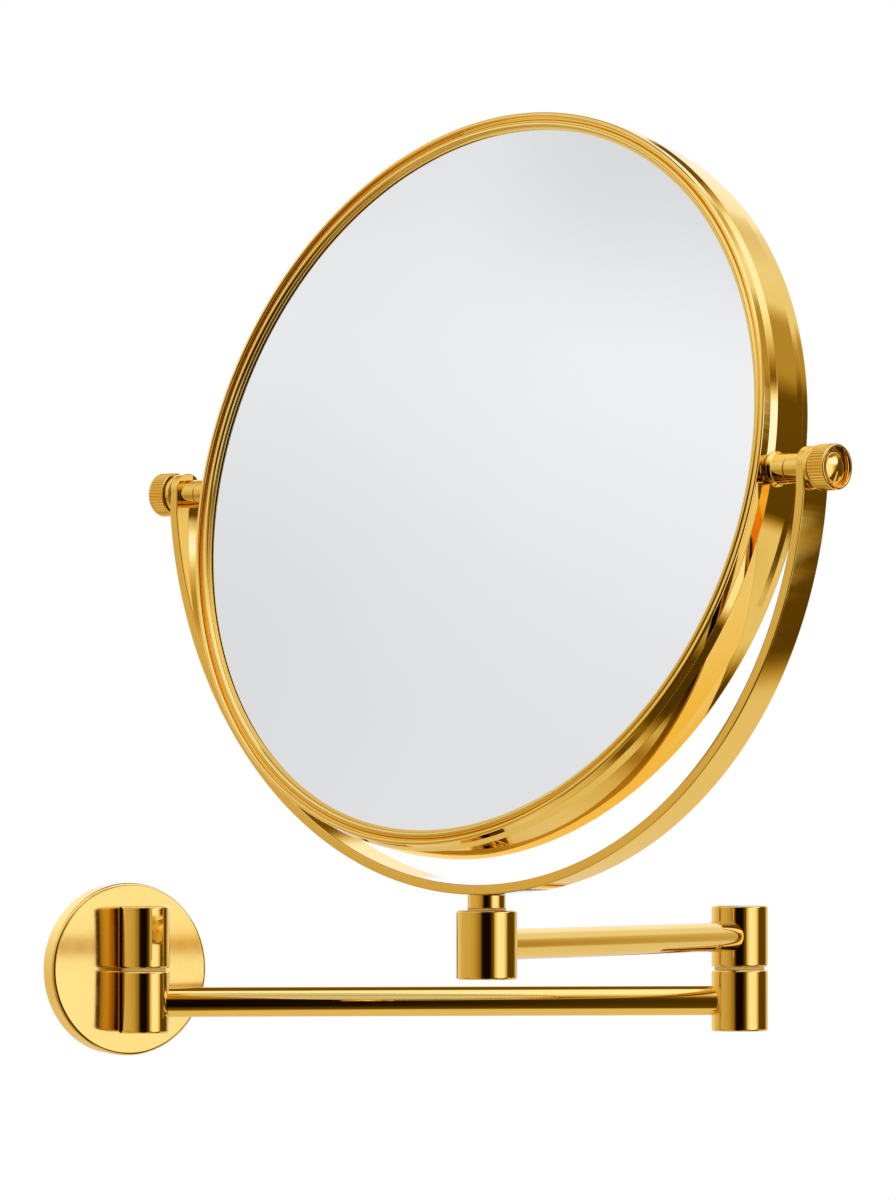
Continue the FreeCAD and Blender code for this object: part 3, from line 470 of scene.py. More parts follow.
def zinc_steel(colours):
    """Zinc-plated steel: grey metal with a fine crystalline mottling."""
    material, tree, shader, place = start_material("zinc_plated_steel")
    if tree is None:
        return material
    shader.inputs["Metallic"].default_value = 1.0
    shader.inputs["Base Color"].default_value = tuple(colours.steel)
    values = {"Scale": per_metre(1.6)}
    spangle = add_node(tree, "ShaderNodeTexVoronoi", values=values, links={"Vector": place})
    vary_roughness(tree, shader, spangle.outputs["Distance"], 0.28, 0.46)
    return material


def moulded(name, tint, low, high):
    """Moulded plastic: a dull skin whose roughness varies over a few millimetres."""
    material, tree, shader, place = start_material(name)
    if tree is None:
        return material
    shader.inputs["Base Color"].default_value = tuple(tint)
    vary_roughness(tree, shader, add_noise(tree, place, 2.0, 2.0), low, high)
    return material


def finish_piece(piece, material, slot, body, *nodes):
    """Give a piece its finish, put it on its body and let it stand for its CAD nodes."""
    piece.data.materials.append(material)
    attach(piece, body)
    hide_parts(*nodes)


def gild(piece, context, body, *nodes):
    """Finish a piece in polished gold."""
    finish_piece(piece, gold_plate(context.scene.mirror_colours), "polished_gold", body, *nodes)


# Operators, one for each group of pieces


class MIRROR_OT_wall_plate(bpy.types.Operator):
    """Make the round wall plate: a cup with a faintly domed face, a rounded front edge and an open back"""

    bl_idname = "mirror.wall_plate"
    bl_label = "Wall Plate"

    def execute(self, context):
        arm = context.scene.mirror_arm
        edge = arm.plate_edge
        back = arm.plate_depth - arm.plate_face
        # the face falls from its centre by the square of the distance, as a shallow sphere does
        curve = arm.plate_radius**2 / (2 * arm.plate_dome)
        dome = [
            (share * arm.plate_radius, arm.plate_depth - arm.plate_dome * share**2, curve)
            for share in (0.8, 0.6, 0.4, 0.2)
        ]
        outline = rounded_outline(
            [
                (0, back, 0),
                (arm.plate_radius - arm.plate_wall, back, edge),
                (arm.plate_radius - arm.plate_wall, 0, edge),
                (arm.plate_radius, 0, edge),
                (arm.plate_radius, arm.plate_depth - arm.plate_dome, arm.plate_round),
                *dome,
                (0, arm.plate_depth, 0),
            ],
            False,
        )
        plate = revolve("wall_plate_shell", outline, frames(context)["plate"], PLATE_ROUND, False)
        satin = gold_plate(context.scene.mirror_colours, "satin_gold_plate", low=0.11, high=0.14)
        finish_piece(plate, satin, "polished_gold", "wall_mount", "wall_plate")
        return {"FINISHED"}


class MIRROR_OT_barrels(bpy.types.Operator):
    """Make the wall, elbow and post barrels: turned cylinders with softened end edges"""

    bl_idname = "mirror.barrels"
    bl_label = "Barrels"

    def execute(self, context):
        arm = context.scene.mirror_arm
        frame_of = frames(context)
        half = arm.barrel_height / 2
        post = arm.post_height / 2
        for node, key, body, radius, reach in (
            ("wall_upper_barrel", "wall_upper", "wall_mount", arm.wall_barrel, half),
            ("wall_lower_barrel", "lower", "lower_arm", arm.wall_barrel, half),
            ("elbow_lower_barrel", "elbow_lower", "lower_arm", arm.barrel, half),
            ("elbow_upper_barrel", "upper", "upper_arm", arm.barrel, half),
            ("post_barrel", "post", "upper_arm", arm.barrel, post),
        ):
            outline = solid_outline(radius, -reach, reach, arm.barrel_round)
            piece = revolve(f"{node}_turned", outline, frame_of[key], BARREL_ROUND, False)
            gild(piece, context, body, node)
        return {"FINISHED"}


class MIRROR_OT_arm_tubes(bpy.types.Operator):
    """Make the two arm tubes, which end inside the barrels' sockets"""

    bl_idname = "mirror.arm_tubes"
    bl_label = "Arm Tubes"

    def execute(self, context):
        arm = context.scene.mirror_arm
        frame_of = frames(context)
        near, far = arm.tube_inset, arm.arm - arm.tube_inset
        outline = ring_outline(arm.tube - arm.tube_wall, arm.tube, near, far, arm.tube_edge)
        for node, key, body in (
            ("lower_arm_tube", "lower", "lower_arm"),
            ("upper_arm_tube", "upper", "upper_arm"),
        ):
            along = frame_of[key] @ turn("Y", math.pi / 2)
            piece = revolve(f"{node}_drawn", outline, along, SMALL_ROUND)
            gild(piece, context, body, node)
        return {"FINISHED"}


class MIRROR_OT_stem(bpy.types.Operator):
    """Make the stem's collar between the post barrel and the yoke"""

    bl_idname = "mirror.stem"
    bl_label = "Yoke Stem"

    def execute(self, context):
        arm = context.scene.mirror_arm
        head = context.scene.mirror_head
        low = arm.post_height / 2 + head.washer_thick
        high = arm.post_height / 2 + head.stem_height
        outline = solid_outline(head.stem, low, high, head.turned_edge)
        piece = revolve("yoke_stem_collar", outline, frames(context)["post"], SMALL_ROUND, False)
        gild(piece, context, "yoke", "yoke_stem")
        return {"FINISHED"}


def ear_reach(head):
    """Distance of an ear's inner face from the middle, where the arc's inner circle meets the ear."""
    low = head.ear_below + head.yoke_rise
    return math.sqrt(head.yoke_radius**2 - low**2)


def strip_path(head):
    """Middle line of the yoke: down the left ear, round the arc and up to the right ear's top.

    The arc is a circle about the arc's centre, from one ear to the other through the bottom. The ears are
    straight, with their points crowded towards the round top. Each row is (across, up), with its unit
    direction beside it.
    """
    arc_points, straight_points, top_points = 181, 6, 25
    # the first point of an ear keeps away from the arc's last one
    apart = 0.001
    radius = head.yoke_radius + head.yoke_thick / 2
    ear = ear_reach(head) + head.yoke_thick / 2
    end = math.asin((head.ear_below + head.yoke_rise) / radius)
    arc = np.linspace(math.pi + end, 2 * math.pi - end, arc_points)
    bend = np.stack([radius * np.cos(arc), head.yoke_rise + radius * np.sin(arc)], axis=1)
    half = head.yoke_width / 2
    crowd = np.sin(np.linspace(0, math.pi / 2, top_points))
    straight = np.linspace(-head.ear_below + apart, head.ear_above - half, straight_points)[:-1]
    rise = np.concatenate([straight, head.ear_above - half + half * crowd])
    right = np.stack([np.full_like(rise, ear), rise], axis=1)
    left = np.stack([np.full_like(rise, -ear), rise], axis=1)[::-1]
    path = np.concatenate([left, bend, right])
    direction = np.gradient(path, axis=0)
    direction /= np.linalg.norm(direction, axis=1, keepdims=True)
    return path, direction


class MIRROR_OT_yoke(bpy.types.Operator):
    """Make the yoke: a flat strip bent in an arc, with round-topped ears and softened edges"""

    bl_idname = "mirror.yoke"
    bl_label = "Yoke"

    def execute(self, context):
        head = context.scene.mirror_head
        path, direction = strip_path(head)
        half = head.yoke_width / 2
        # half the strip's width, which follows a half circle at the top of an ear
        from_top = np.clip(head.ear_above - path[:, 1], 0, half)
        round_top = np.sqrt(np.clip(half**2 - (half - from_top) ** 2, 1e-12, None))
        reach = np.where(path[:, 1] > 0, round_top, half)
        # near the very top the rounding shrinks with the width
        edge = np.minimum(head.yoke_edge, reach * 0.8)[:, None]
        thick = head.yoke_thick / 2
        corner_points = 5
        corner = np.linspace(0, math.pi / 2, corner_points)
        heading = np.concatenate([corner + math.pi / 2 * quarter for quarter in range(4)])
        width_side = np.repeat([1, -1, -1, 1], corner_points)[None, :]
        thick_side = np.repeat([1, 1, -1, -1], corner_points)[None, :]
        across = width_side * (reach[:, None] - edge) + edge * np.cos(heading)[None, :]
        off = thick_side * (thick - edge) + edge * np.sin(heading)[None, :]
        outward = np.stack([direction[:, 1], -direction[:, 0]], axis=1)
        points = np.stack(
            [
                path[:, :1] + outward[:, :1] * off,
                across,
                path[:, 1:] + outward[:, 1:] * off,
            ],
            axis=2,
        )
        rows, columns = points.shape[:2]
        faces = grid_quads(rows, columns, False).tolist()
        faces += [list(range(columns))[::-1], [(rows - 1) * columns + column for column in range(columns)]]
        piece = place_mesh("yoke_strip", points.reshape(-1, 3), faces, frames(context)["yoke"])
        weigh = piece.modifiers.new("even_shading", "WEIGHTED_NORMAL")
        weigh.keep_sharp = True
        gild(piece, context, "yoke", "yoke")
        return {"FINISHED"}


class MIRROR_OT_frame(bpy.types.Operator):
    """Make the band and the two bezels, each with a lip, an inner roll, a groove and an outer roll"""

    bl_idname = "mirror.frame"
    bl_label = "Mirror Frame"

    def execute(self, context):
        head = context.scene.mirror_head
        frame_of = frames(context)
        view = head.frame_radius - head.bezel_width
        roll = view + head.lip
        groove = roll + head.roll
        shoulder = groove + head.groove
        bore = head.frame_radius - head.band_wall
        for node, key, crest in (("front_bezel", "front", head.front), ("rear_bezel", "rear", head.rear)):
            glass = crest - head.crest
            outline = rounded_outline(
                [
                    (view, glass, head.lip_edge),
                    (bore, glass, head.fine_edge),
                    (bore, glass - head.seam, head.fine_edge),
                    (head.frame_radius - head.flank_foot, glass - head.seam, head.soft_edge),
                    (head.frame_radius - head.flank_top, crest, head.crest_round),
                    (shoulder, crest, head.shoulder_round),
                    (shoulder, glass + head.groove_floor, head.fine_edge),
                    (groove, glass + head.groove_floor, head.fine_edge),
                    (groove, glass + head.roll_height, head.roll_round),
                    (roll, glass + head.roll_height, head.roll_round),
                    (roll, glass + head.lip_height, head.lip_edge),
                    (view, glass + head.lip_height, head.fine_edge),
                ],
                True,
                BEZEL_STEPS,
            )
            piece = revolve(f"{node}_rolled", outline, frame_of[key], FRAME_ROUND)
            gild(piece, context, "mirror_head", node)
        low = head.seam - (head.rear - head.crest)
        high = head.front - head.crest - head.seam
        outline = rounded_outline(
            [
                (bore, low, head.fine_edge),
                (head.frame_radius - head.rear_taper, low, head.soft_edge),
                (head.frame_radius, low + head.taper_depth, head.taper_round),
                (head.frame_radius, high - head.taper_depth, head.taper_round),
                (head.frame_radius - head.band_taper, high, head.soft_edge),
                (bore, high, head.fine_edge),
            ],
            True,
        )
        piece = revolve("frame_band_rolled", outline, frame_of["front"], FRAME_ROUND)
        gild(piece, context, "mirror_head", "frame_band")
        return {"FINISHED"}


class MIRROR_OT_glasses(bpy.types.Operator):
    """Make the hollow magnifying glass in front and the plane glass behind"""

    bl_idname = "mirror.glasses"
    bl_label = "Mirror Glasses"

    def execute(self, context):
        head = context.scene.mirror_head
        colours = context.scene.mirror_colours
        frame_of = frames(context)
        # a spherical face lies below its centre by the root of its curve squared less the radius squared
        rows = 40
        radius = np.linspace(0, head.glass, rows)
        rim = math.sqrt(head.curve**2 - head.glass**2)
        centre = head.front - head.crest + rim
        face = np.stack([radius, centre - np.sqrt(head.curve**2 - radius**2)], axis=1)
        back_curve = head.curve + head.glass_thick
        back = np.stack([radius, centre - np.sqrt(back_curve**2 - radius**2)], axis=1)
        points = np.concatenate([back, face[::-1]])
        normal = np.concatenate([points[:rows] - [0, centre], [0, centre] - points[rows:]])
        normal /= np.linalg.norm(normal, axis=1, keepdims=True)
        piece = revolve("magnifying_glass", (points, normal), frame_of["front"], GLASS_ROUND, False)
        finish_piece(piece, silvered_glass(colours), "mirror_glass", "mirror_head", "front_mirror")
        high = head.rear - head.crest
        outline = solid_outline(head.glass, high - head.glass_thick, high, head.soft_edge)
        piece = revolve("plane_glass", outline, frame_of["rear"], GLASS_ROUND, False)
        finish_piece(piece, silvered_glass(colours), "mirror_glass", "mirror_head", "rear_mirror")
        return {"FINISHED"}


class MIRROR_OT_pivots(bpy.types.Operator):
    """Make the boss, ear bush and washer of each tilt pivot"""

    bl_idname = "mirror.pivots"
    bl_label = "Tilt Pivots"

    def execute(self, context):
        head = context.scene.mirror_head
        frame_of = frames(context)
        band = head.frame_radius
        boss_out = band + head.boss_length
        ear = ear_reach(head)
        for side in ("right", "left"):
            outline = rounded_outline(
                [
                    (0, band - head.boss_sink, 0),
                    (head.boss_foot, band - head.boss_sink, head.fine_edge),
                    (head.boss_foot, band + head.boss_sink, head.soft_edge),
                    (head.boss + head.flare_draft, band + head.boss_flare, head.flare_round),
                    (head.boss, boss_out, head.turned_edge),
                    (0, boss_out, 0),
                ],
                False,
            )
            piece = revolve(f"{side}_boss_turned", outline, frame_of[f"{side}_pivot"], SMALL_ROUND, False)
            gild(piece, context, "mirror_head", f"{side}_boss")
            outline = solid_outline(head.boss, boss_out + head.play, ear, head.turned_edge)
            piece = revolve(f"{side}_bush_turned", outline, frame_of[f"{side}_ear"], SMALL_ROUND, False)
            gild(piece, context, "yoke", f"{side}_ear_bush")
            outer = ear + head.yoke_thick
            top = outer + head.knob_washer
            outline = ring_outline(head.washer_bore, head.washer, outer, top, head.washer_edge)
            piece = revolve(f"{side}_washer_turned", outline, frame_of[f"{side}_ear"], SMALL_ROUND)
            gild(piece, context, "yoke", f"{side}_knob_washer")
        return {"FINISHED"}


class MIRROR_OT_knobs(bpy.types.Operator):
    """Make the straight-knurled clamp knobs, each with a neck and a domed centre in a dished end"""

    bl_idname = "mirror.knobs"
    bl_label = "Clamp Knobs"

    def execute(self, context):
        head = context.scene.mirror_head
        frame_of = frames(context)
        knob = head.knob
        inner = ear_reach(head) + head.yoke_thick + head.knob_washer + head.play
        outer = inner + head.knob_length
        start = inner + head.knob_neck
        knurl_end = start + head.knurl_length
        floor = outer - head.knob_dish
        top = floor + head.knob_dome

        def dome(share):
            """Point of the domed centre, which falls from its top by the square of the distance."""
            reach = share * head.knob_centre
            return reach, top - reach**2 / (2 * head.knob_curve)

        cap = [(*dome(share), head.knob_curve) for share in (0.75, 0.5, 0.25)]

        def flutes(height, turns, radius):
            """Depth of V flutes with softened crests, on the knurled length and the outer radius only."""
            phase = (turns * head.flutes / (2 * math.pi)) % 1.0
            vee = 1 - np.abs(2 * phase - 1) ** 0.8
            slope = np.gradient(np.broadcast_to(vee, (1, vee.shape[1])), turns[0], axis=1)
            on = (height > start + head.knurl_start) & (height < knurl_end) & (radius > knob * 0.97)
            return on * head.knurl_depth * vee, on * head.knurl_depth * slope

        outline = rounded_outline(
            [
                (0, inner - head.stub_length, 0),
                (head.stub, inner - head.stub_length, head.soft_edge),
                (head.stub, inner, head.fine_edge),
                (head.neck, inner, head.fine_edge),
                (head.neck, start, head.fine_edge),
                (knob, start, head.knob_edge),
                (knob, start + head.knurl_ring, 0),
                (knob, knurl_end - head.fine_edge, 0),
                (knob, outer, head.rim_round),
                (knob - head.knob_rim, outer, head.soft_edge),
                (knob - 2 * head.knob_rim, floor, head.knob_edge),
                (head.knob_centre, floor, head.soft_edge),
                (*dome(1), head.dome_edge),
                *cap,
                (0, top, 0),
            ],
            False,
        )
        for side in ("right", "left"):
            place = frame_of[f"{side}_pivot"]
            count = head.flutes * FLUTE_POINTS
            piece = revolve(f"{side}_knob_knurled", outline, place, count, False, flutes)
            gild(piece, context, f"{side}_knob", f"{side}_knob")
        return {"FINISHED"}


class MIRROR_OT_hidden_pieces(bpy.types.Operator):
    """Give every CAD piece its finish; screws, washers, caps, bracket and inner pieces keep their CAD shape"""

    bl_idname = "mirror.hidden_pieces"
    bl_label = "Hidden Pieces"

    def execute(self, context):
        colours = context.scene.mirror_colours
        makers = {
            "polished_gold": lambda: gold_plate(colours),
            "plain_steel": lambda: zinc_steel(colours),
            "nylon_washer": lambda: moulded("moulded_nylon", colours.nylon, 0.4, 0.55),
            "inner_plastic": lambda: moulded("foamed_plastic", colours.plastic, 0.6, 0.8),
            "mirror_glass": lambda: silvered_glass(colours),
        }
        slots = {entry["node"]: entry["material_slot"] for entry in frame["record"]["subparts"]}
        for node, piece in frame["nodes"].items():
            piece.data.materials.clear()
            piece.data.materials.append(makers[slots[node]]())
        return {"FINISHED"}


# Stage, with places in metres and the angles of the tent in degrees

CAMERA_PLACE = (-1.1329, -2.211, 0.0485)
CAMERA_RISE = 1.72
CAMERA_HEADING = -29.65
CAMERA_LENS = 223.0
CAMERA_REACH = 50.0
SENSOR_HEIGHT = 36.0
STAGE_CENTRE = (0.06, -0.15)
STAGE_RADIUS = 4.0
TENT_HEIGHT = 0.08
FLOOR_HEIGHT = -0.3
# strength of the white world as it lights the set, and as the camera and the mirrors see it
WORLD_LIGHT = 0.95
WORLD_SEEN = 1.0
# level of the tent's darkest cloth
DARKEST = 0.004
# greys between which the glass sees the tent, and the share of light that it gives back
GLASS_RANGE = (0.5, 0.82)
GLASS_SHARE = 0.9
# the grey card hangs where the hollow glass gathers its view at rest
CARD_PLACE = (-0.1616, -0.109, 0.2327)
CARD_HEADING = 151.6
CARD_LEAN = -20.53
CARD_SIDE = 0.0125
CARD_HALF_WIDTH = 0.046
CARD_HALF_HEIGHT = 0.102
CARD_GREY = 0.871


def smooth(value, low, high):
    """Rise gently from 0 at the low end to 1 at the high end."""
    share = np.clip((value - low) / (high - low), 0, 1)
    return share * share * (3 - 2 * share)


def window(value, low, soft_low, soft_high, high):
    """Rise from 0 to 1 between the first two limits and fall back between the last two."""
    return smooth(value, low, soft_low) * (1 - smooth(value, soft_high, high))


def hang(level, cloth, share):
    """Lay cloth of another level over the tent, fully where its share is 1."""
    return level + (cloth - level) * share


def wall_level(across, up):
    """Level of the wall: pale on the left and behind, dark in front and on the right, paler higher up."""
    turns = [-180, -135, -105, -65, -45, -25, -10, 30, 60, 85, 112, 124, 132, 140, 165]
    levels = [1.0, 1.05, 0.72, 0.65, 0.55, 0.28, 0.12, 0.1, 0.08, 0.1, 0.1, 0.13, 0.62, 0.88, 1.0]
    rise = np.interp(up, [-60, -30, -10, 6, 25, 40], [0.75, 0.8, 0.85, 1.0, 1.2, 1.3])
    level = np.interp(across, turns, levels, period=360) * rise
    black_flag = window(across, -26, -15, 12, 22) * window(up, -52, -38, 14, 30)
    grey_flag = window(across, -100, -92, -76, -66) * window(up, -40, -32, -10, -3)
    return level * (1 - 0.95 * black_flag) * (1 - 0.3 * grey_flag)


def hang_strip(level, across, up):
    """Hang a white strip in the dark wall; its right edge leans to the right, its upper part is brightest."""
    edge = np.clip(86 + 0.8 * up, 78, 101)
    top = np.interp(across, [24, 50, 60, 100], [11, 11, 22, 24])
    foot = np.interp(across, [24, 38, 44, 66, 74], [-17, -17, -32, -32, -17])
    turns = [24, 33, 45, 56, 66, 75, 84, 90]
    strip = np.interp(across, turns, [0.1, 0.85, 1.3, 1.2, 1.2, 0.8, 0.3, 0.1])
    strip = hang(strip, 1.43, smooth(across, 56, 64) * smooth(up, 4, 12))
    sides = smooth(across, 24, 27) * (1 - smooth(across, edge - 4, edge))
    return hang(level, strip, sides * window(up, foot, foot + 7, top, top + 6))


def hang_cards(level, across, up):
    """Hang what is on the right: a grey ledge and a pale gable high up, a white card and shelf low down."""
    level = hang(level, 0.43, window(across, 92, 100, 117, 123) * smooth(up, 17, 22))
    foot = np.interp(across, [118, 126, 135, 145], [19, 15, 9, 7])
    level = hang(level, 0.95, window(across, 116, 122, 146, 152) * smooth(up, foot, foot + 5))
    level = hang(level, 0.85, window(across, 106, 115, 170, 178) * window(up, -58, -50, -15, -10))
    lean = np.interp(up, [-38, -29, -23, -15, -7], [109, 104.5, 100, 97.5, 96])
    return hang(level, 0.89, window(across, 88, 91, lean - 2, lean) * window(up, -40, -30, -9, -5))


def hang_roof(level, across, up):
    """Close the tent with a floor that is dark in front and a white roof that is dark at the back."""
    ground = 0.8 - 0.72 * window(across, -55, -35, 12, 26)
    level = hang(level, ground, smooth(-up, 56, 70))
    turns = [-180, -165, -143, -113, -83, -38, -20, 30, 70, 115, 130, 140, 150, 170]
    levels = [0.15, 0.3, 0.55, 0.85, 0.95, 1.1, 1.25, 1.3, 1.28, 1.35, 1.2, 0.6, 0.15, 0.12]
    roof = np.interp(across, turns, levels, period=360)
    turns = [-180, -140, -110, -30, -20, 20, 30, 85, 100, 125, 140]
    low = np.interp(across, turns, [31, 30, 12, 12, 16, 16, 28, 26, 28, 30, 31], period=360)
    high = np.interp(across, turns, [37, 42, 40, 40, 60, 60, 56, 44, 44, 40, 37], period=360)
    return hang(level, roof, smooth(up, low, high))


def tent_light(across, up):
    """Light that the tent sends from a direction, as linear RGB.

    Across is the angle to the right of the camera and up the angle above the horizon, both in degrees.
    Darker cloth is warmer: its green and blue fall off faster than its red. The cloth at the back, level with
    the set, is a cold white instead, which evens out the colour of light that meets the gold twice.
    """
    level = hang_strip(wall_level(across, up), across, up)
    level = hang_roof(hang_cards(level, across, up), across, up)
    level = np.clip(level, DARKEST, None)[..., None]
    red = level * (0.927 + 0.36 * np.clip(1 - level, 0, None))
    green = level * (0.697 + 0.184 * level)
    blue = 0.722 * level**2.4 + 5.5 * np.clip(level - 1.27, 0, None)
    warm = np.concatenate([red, green, blue], axis=-1)
    cold = level * np.array([0.96, 1.16, 2.5])
    at_back = smooth(np.abs(across), 150, 162) * window(up, -18, -10, 9, 16)
    return hang(warm, cold, at_back[..., None])


def make_glow(name, light, stage_piece, glass_range):
    """Give a stage surface a glow of its own from linear RGB values at its points.

    The silvered glass is the only perfectly sharp mirror of the set, so its rays alone are singular. It sees
    the surface as a neutral grey in the given range.
    """
    paint = stage_piece.data.attributes.new("light", "FLOAT_COLOR", "POINT")
    paint.data.foreach_set("color", np.concatenate([light, np.ones((len(light), 1))], axis=1).ravel())
    material = bpy.data.materials.new(name)
    material.use_nodes = True
    tree = material.node_tree
    tree.nodes.clear()
    cloth = add_node(tree, "ShaderNodeAttribute", {"attribute_name": "light"}).outputs["Color"]
    grey = add_node(tree, "ShaderNodeRGBToBW", links={"Color": cloth})
    values = {"To Min": glass_range[0], "To Max": glass_range[1]}
    pale = add_node(tree, "ShaderNodeMapRange", values=values, links={"Value": grey.outputs["Val"]})
    path = add_node(tree, "ShaderNodeLightPath")
    seen = add_node(
        tree,
        "ShaderNodeMix",
        {"data_type": "RGBA"},
        links={"Factor": path.outputs["Is Singular Ray"], "A": cloth, "B": pale.outputs["Result"]},
    )
    glow = add_node(tree, "ShaderNodeEmission", links={"Color": seen.outputs["Result"]})
    add_node(tree, "ShaderNodeOutputMaterial", links={"Surface": glow.outputs[0]})
    stage_piece.data.materials.append(material)
    stage_piece.visible_camera = False
    stage_piece.visible_shadow = False
    stage_piece.visible_diffuse = False


def light_tent():
    """Put a light tent round the set, a sphere that shows in reflections only.

    Point (row, column) lies at the stage's radius in the direction (cos u cos h, cos u sin h, sin u), with u
    up from the horizon and h the heading towards the camera plus the angle across.
    """
    rows, columns = 181, 240
    # the rows end just short of the poles
    highest = 89.9
    across = np.linspace(-180, 180, columns, endpoint=False)[None, :]
    up = np.linspace(-highest, highest, rows)[:, None]
    across, up = np.broadcast_arrays(across, up)
    heading = np.radians(across) + math.radians(CAMERA_HEADING - 90)
    rise = np.radians(up)
    directions = [np.cos(rise) * np.cos(heading), np.cos(rise) * np.sin(heading), np.sin(rise)]
    points = STAGE_RADIUS * np.stack(directions, axis=2)
    faces = grid_quads(rows, columns, False)[:, ::-1].tolist()
    tent = place_mesh("light_tent", points.reshape(-1, 3), faces, shift(*STAGE_CENTRE, TENT_HEIGHT))
    make_glow("lit_tent_cloth", tent_light(across, up).reshape(-1, 3), tent, GLASS_RANGE)


def disc_grid(inner, outer, rings, spokes):
    """Points of a flat disc, (r cos a, r sin a), with one row to each ring."""
    radius = np.linspace(inner, outer, rings)[:, None]
    turns = np.linspace(0, 2 * math.pi, spokes, endpoint=False)[None, :]
    return radius * np.cos(turns), radius * np.sin(turns)


def glass_card():
    """Hang a small oval grey card where the hollow glass gathers its view at rest.

    The card is brightest along a soft ridge and darkest in its lower corner, both by the angles of the view.
    In other poses a glass may show the card's outline.
    """
    rings, spokes = 24, 64
    side, rise = disc_grid(0.03, 1, rings, spokes)
    side = (CARD_SIDE + CARD_HALF_WIDTH * side).ravel()
    rise = (CARD_HALF_HEIGHT * rise).ravel()
    points = np.stack([np.zeros_like(side), -side, rise], axis=1)
    # degrees across and up of the view that meets the card there, nearly straight over so small a card
    across = 551 * side + 23 * rise - 91.4
    up = 20.5 - 25 * side - 110.5 * rise
    ridge = 0.045 * np.exp(-(((up - 17) / 5) ** 2))
    ridge = ridge + 0.027 * smooth(-across, 74, 102) - 0.01 * smooth(up, 20, 27)
    corner = 0.054 * smooth(-up, -17, -12.5) * smooth(-across, 83, 94)
    # the grey is named as it looks on the screen, after the glass has taken its part
    grey = to_linear(CARD_GREY + ridge - corner) / GLASS_SHARE
    faces = grid_quads(rings, spokes, False).tolist() + [list(range(spokes))[::-1]]
    place = shift(*CARD_PLACE) @ turn("Z", math.radians(CARD_HEADING)) @ turn("Y", math.radians(CARD_LEAN))
    card = place_mesh("glass_card", points, faces, place)
    make_glow("lit_grey_card", np.repeat(grey[:, None], 3, axis=1), card, (0.0, 1.0))


def floor_paint(colours):
    """Dull pale paint with slightly darker patches."""
    material, tree, shader, place = start_material("pale_floor_paint")
    if tree is None:
        return material
    shader.inputs["Specular IOR Level"].default_value = 0.0
    shader.inputs["Roughness"].default_value = 0.9
    vary_colour(tree, shader, add_noise(tree, place, 60, 3.0), colours.floor, colours.floor_worn)
    return material


def pale_floor(colours):
    """Lay a round pale floor below the set; the metal reflects the tent and not the floor."""
    rings, spokes = 40, 96
    side, ahead = disc_grid(0.05, STAGE_RADIUS, rings, spokes)
    points = np.stack([side, ahead, np.zeros_like(side)], axis=2)
    faces = grid_quads(rings, spokes, False)[:, ::-1].tolist() + [list(range(spokes))]
    floor = place_mesh("pale_floor", points.reshape(-1, 3), faces, shift(*STAGE_CENTRE, FLOOR_HEIGHT))
    floor.data.materials.append(floor_paint(colours))
    floor.visible_glossy = False


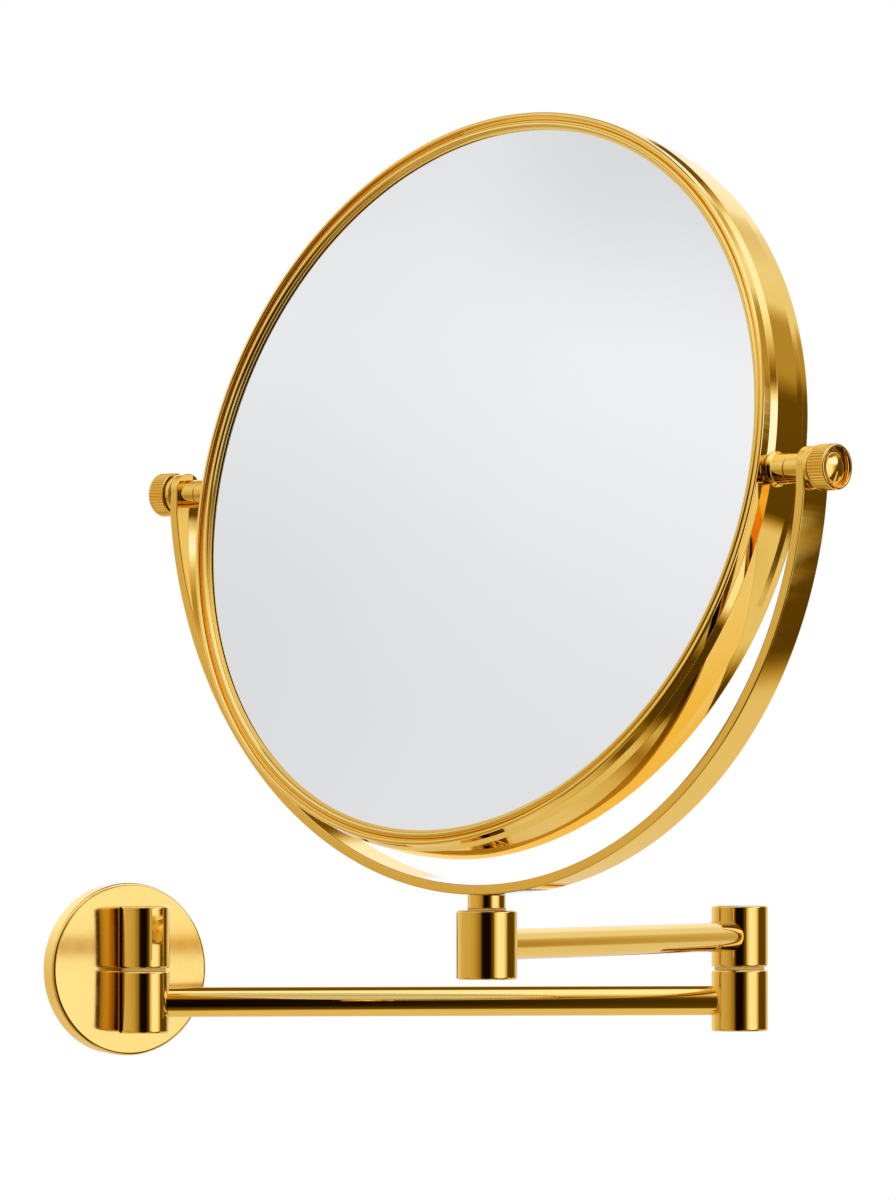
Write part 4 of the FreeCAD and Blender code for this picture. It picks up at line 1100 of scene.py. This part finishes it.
class MIRROR_OT_stage(bpy.types.Operator):
    """Set the camera, the white world, the light tent, the grey card and the pale floor"""

    bl_idname = "mirror.stage"
    bl_label = "Studio Stage"

    def execute(self, context):
        scene = context.scene
        scene.view_settings.view_transform = "Standard"
        camera = bpy.data.cameras.new("photo_camera")
        camera.sensor_fit = "VERTICAL"
        camera.sensor_height = SENSOR_HEIGHT
        camera.lens = CAMERA_LENS
        camera.clip_end = CAMERA_REACH
        viewer = bpy.data.objects.new("photo_camera", camera)
        viewer.location = CAMERA_PLACE
        viewer.rotation_euler = (math.radians(90 + CAMERA_RISE), 0.0, math.radians(CAMERA_HEADING))
        context.collection.objects.link(viewer)
        scene.camera = viewer

        world = bpy.data.worlds.new("white_studio")
        scene.world = world
        world.use_nodes = True
        tree = world.node_tree
        background = tree.nodes["Background"]
        background.inputs["Color"].default_value = (1, 1, 1, 1)
        path = add_node(tree, "ShaderNodeLightPath")
        seen = path.outputs["Is Camera Ray"]
        for ray in ("Is Glossy Ray", "Is Transmission Ray"):
            both = add_node(
                tree, "ShaderNodeMath", {"operation": "MAXIMUM"}, links={0: seen, 1: path.outputs[ray]}
            )
            seen = both.outputs[0]
        values = {"To Min": WORLD_LIGHT, "To Max": WORLD_SEEN}
        strength = add_node(tree, "ShaderNodeMapRange", values=values, links={"Value": seen})
        tree.links.new(strength.outputs["Result"], background.inputs["Strength"])

        light_tent()
        glass_card()
        pale_floor(scene.mirror_colours)
        return {"FINISHED"}


class MIRROR_PT_sidebar(bpy.types.Panel):
    """Buttons for every piece of the mirror"""

    bl_idname = "MIRROR_PT_sidebar"
    bl_label = "Swing-Arm Mirror"
    bl_space_type = "VIEW_3D"
    bl_region_type = "UI"
    bl_category = "Mirror"

    def draw(self, context):
        for operator in OPERATORS:
            self.layout.operator(operator.bl_idname)


GROUPS = (ArmSizes, HeadSizes, FinishColours)
OPERATORS = (
    MIRROR_OT_hidden_pieces,
    MIRROR_OT_wall_plate,
    MIRROR_OT_barrels,
    MIRROR_OT_arm_tubes,
    MIRROR_OT_stem,
    MIRROR_OT_yoke,
    MIRROR_OT_frame,
    MIRROR_OT_glasses,
    MIRROR_OT_pivots,
    MIRROR_OT_knobs,
    MIRROR_OT_stage,
)


def register():
    for part in (*GROUPS, *OPERATORS, MIRROR_PT_sidebar):
        bpy.utils.register_class(part)
    bpy.types.Scene.mirror_arm = PointerProperty(type=ArmSizes)
    bpy.types.Scene.mirror_head = PointerProperty(type=HeadSizes)
    bpy.types.Scene.mirror_colours = PointerProperty(type=FinishColours)


def unregister():
    del bpy.types.Scene.mirror_colours
    del bpy.types.Scene.mirror_head
    del bpy.types.Scene.mirror_arm
    for part in reversed((*GROUPS, *OPERATORS, MIRROR_PT_sidebar)):
        bpy.utils.unregister_class(part)


def main():
    """Build every piece in order."""
    register()
    for operator in OPERATORS:
        group, name = operator.bl_idname.split(".")
        getattr(getattr(bpy.ops, group), name)()


if __name__ == "__main__":
    main()
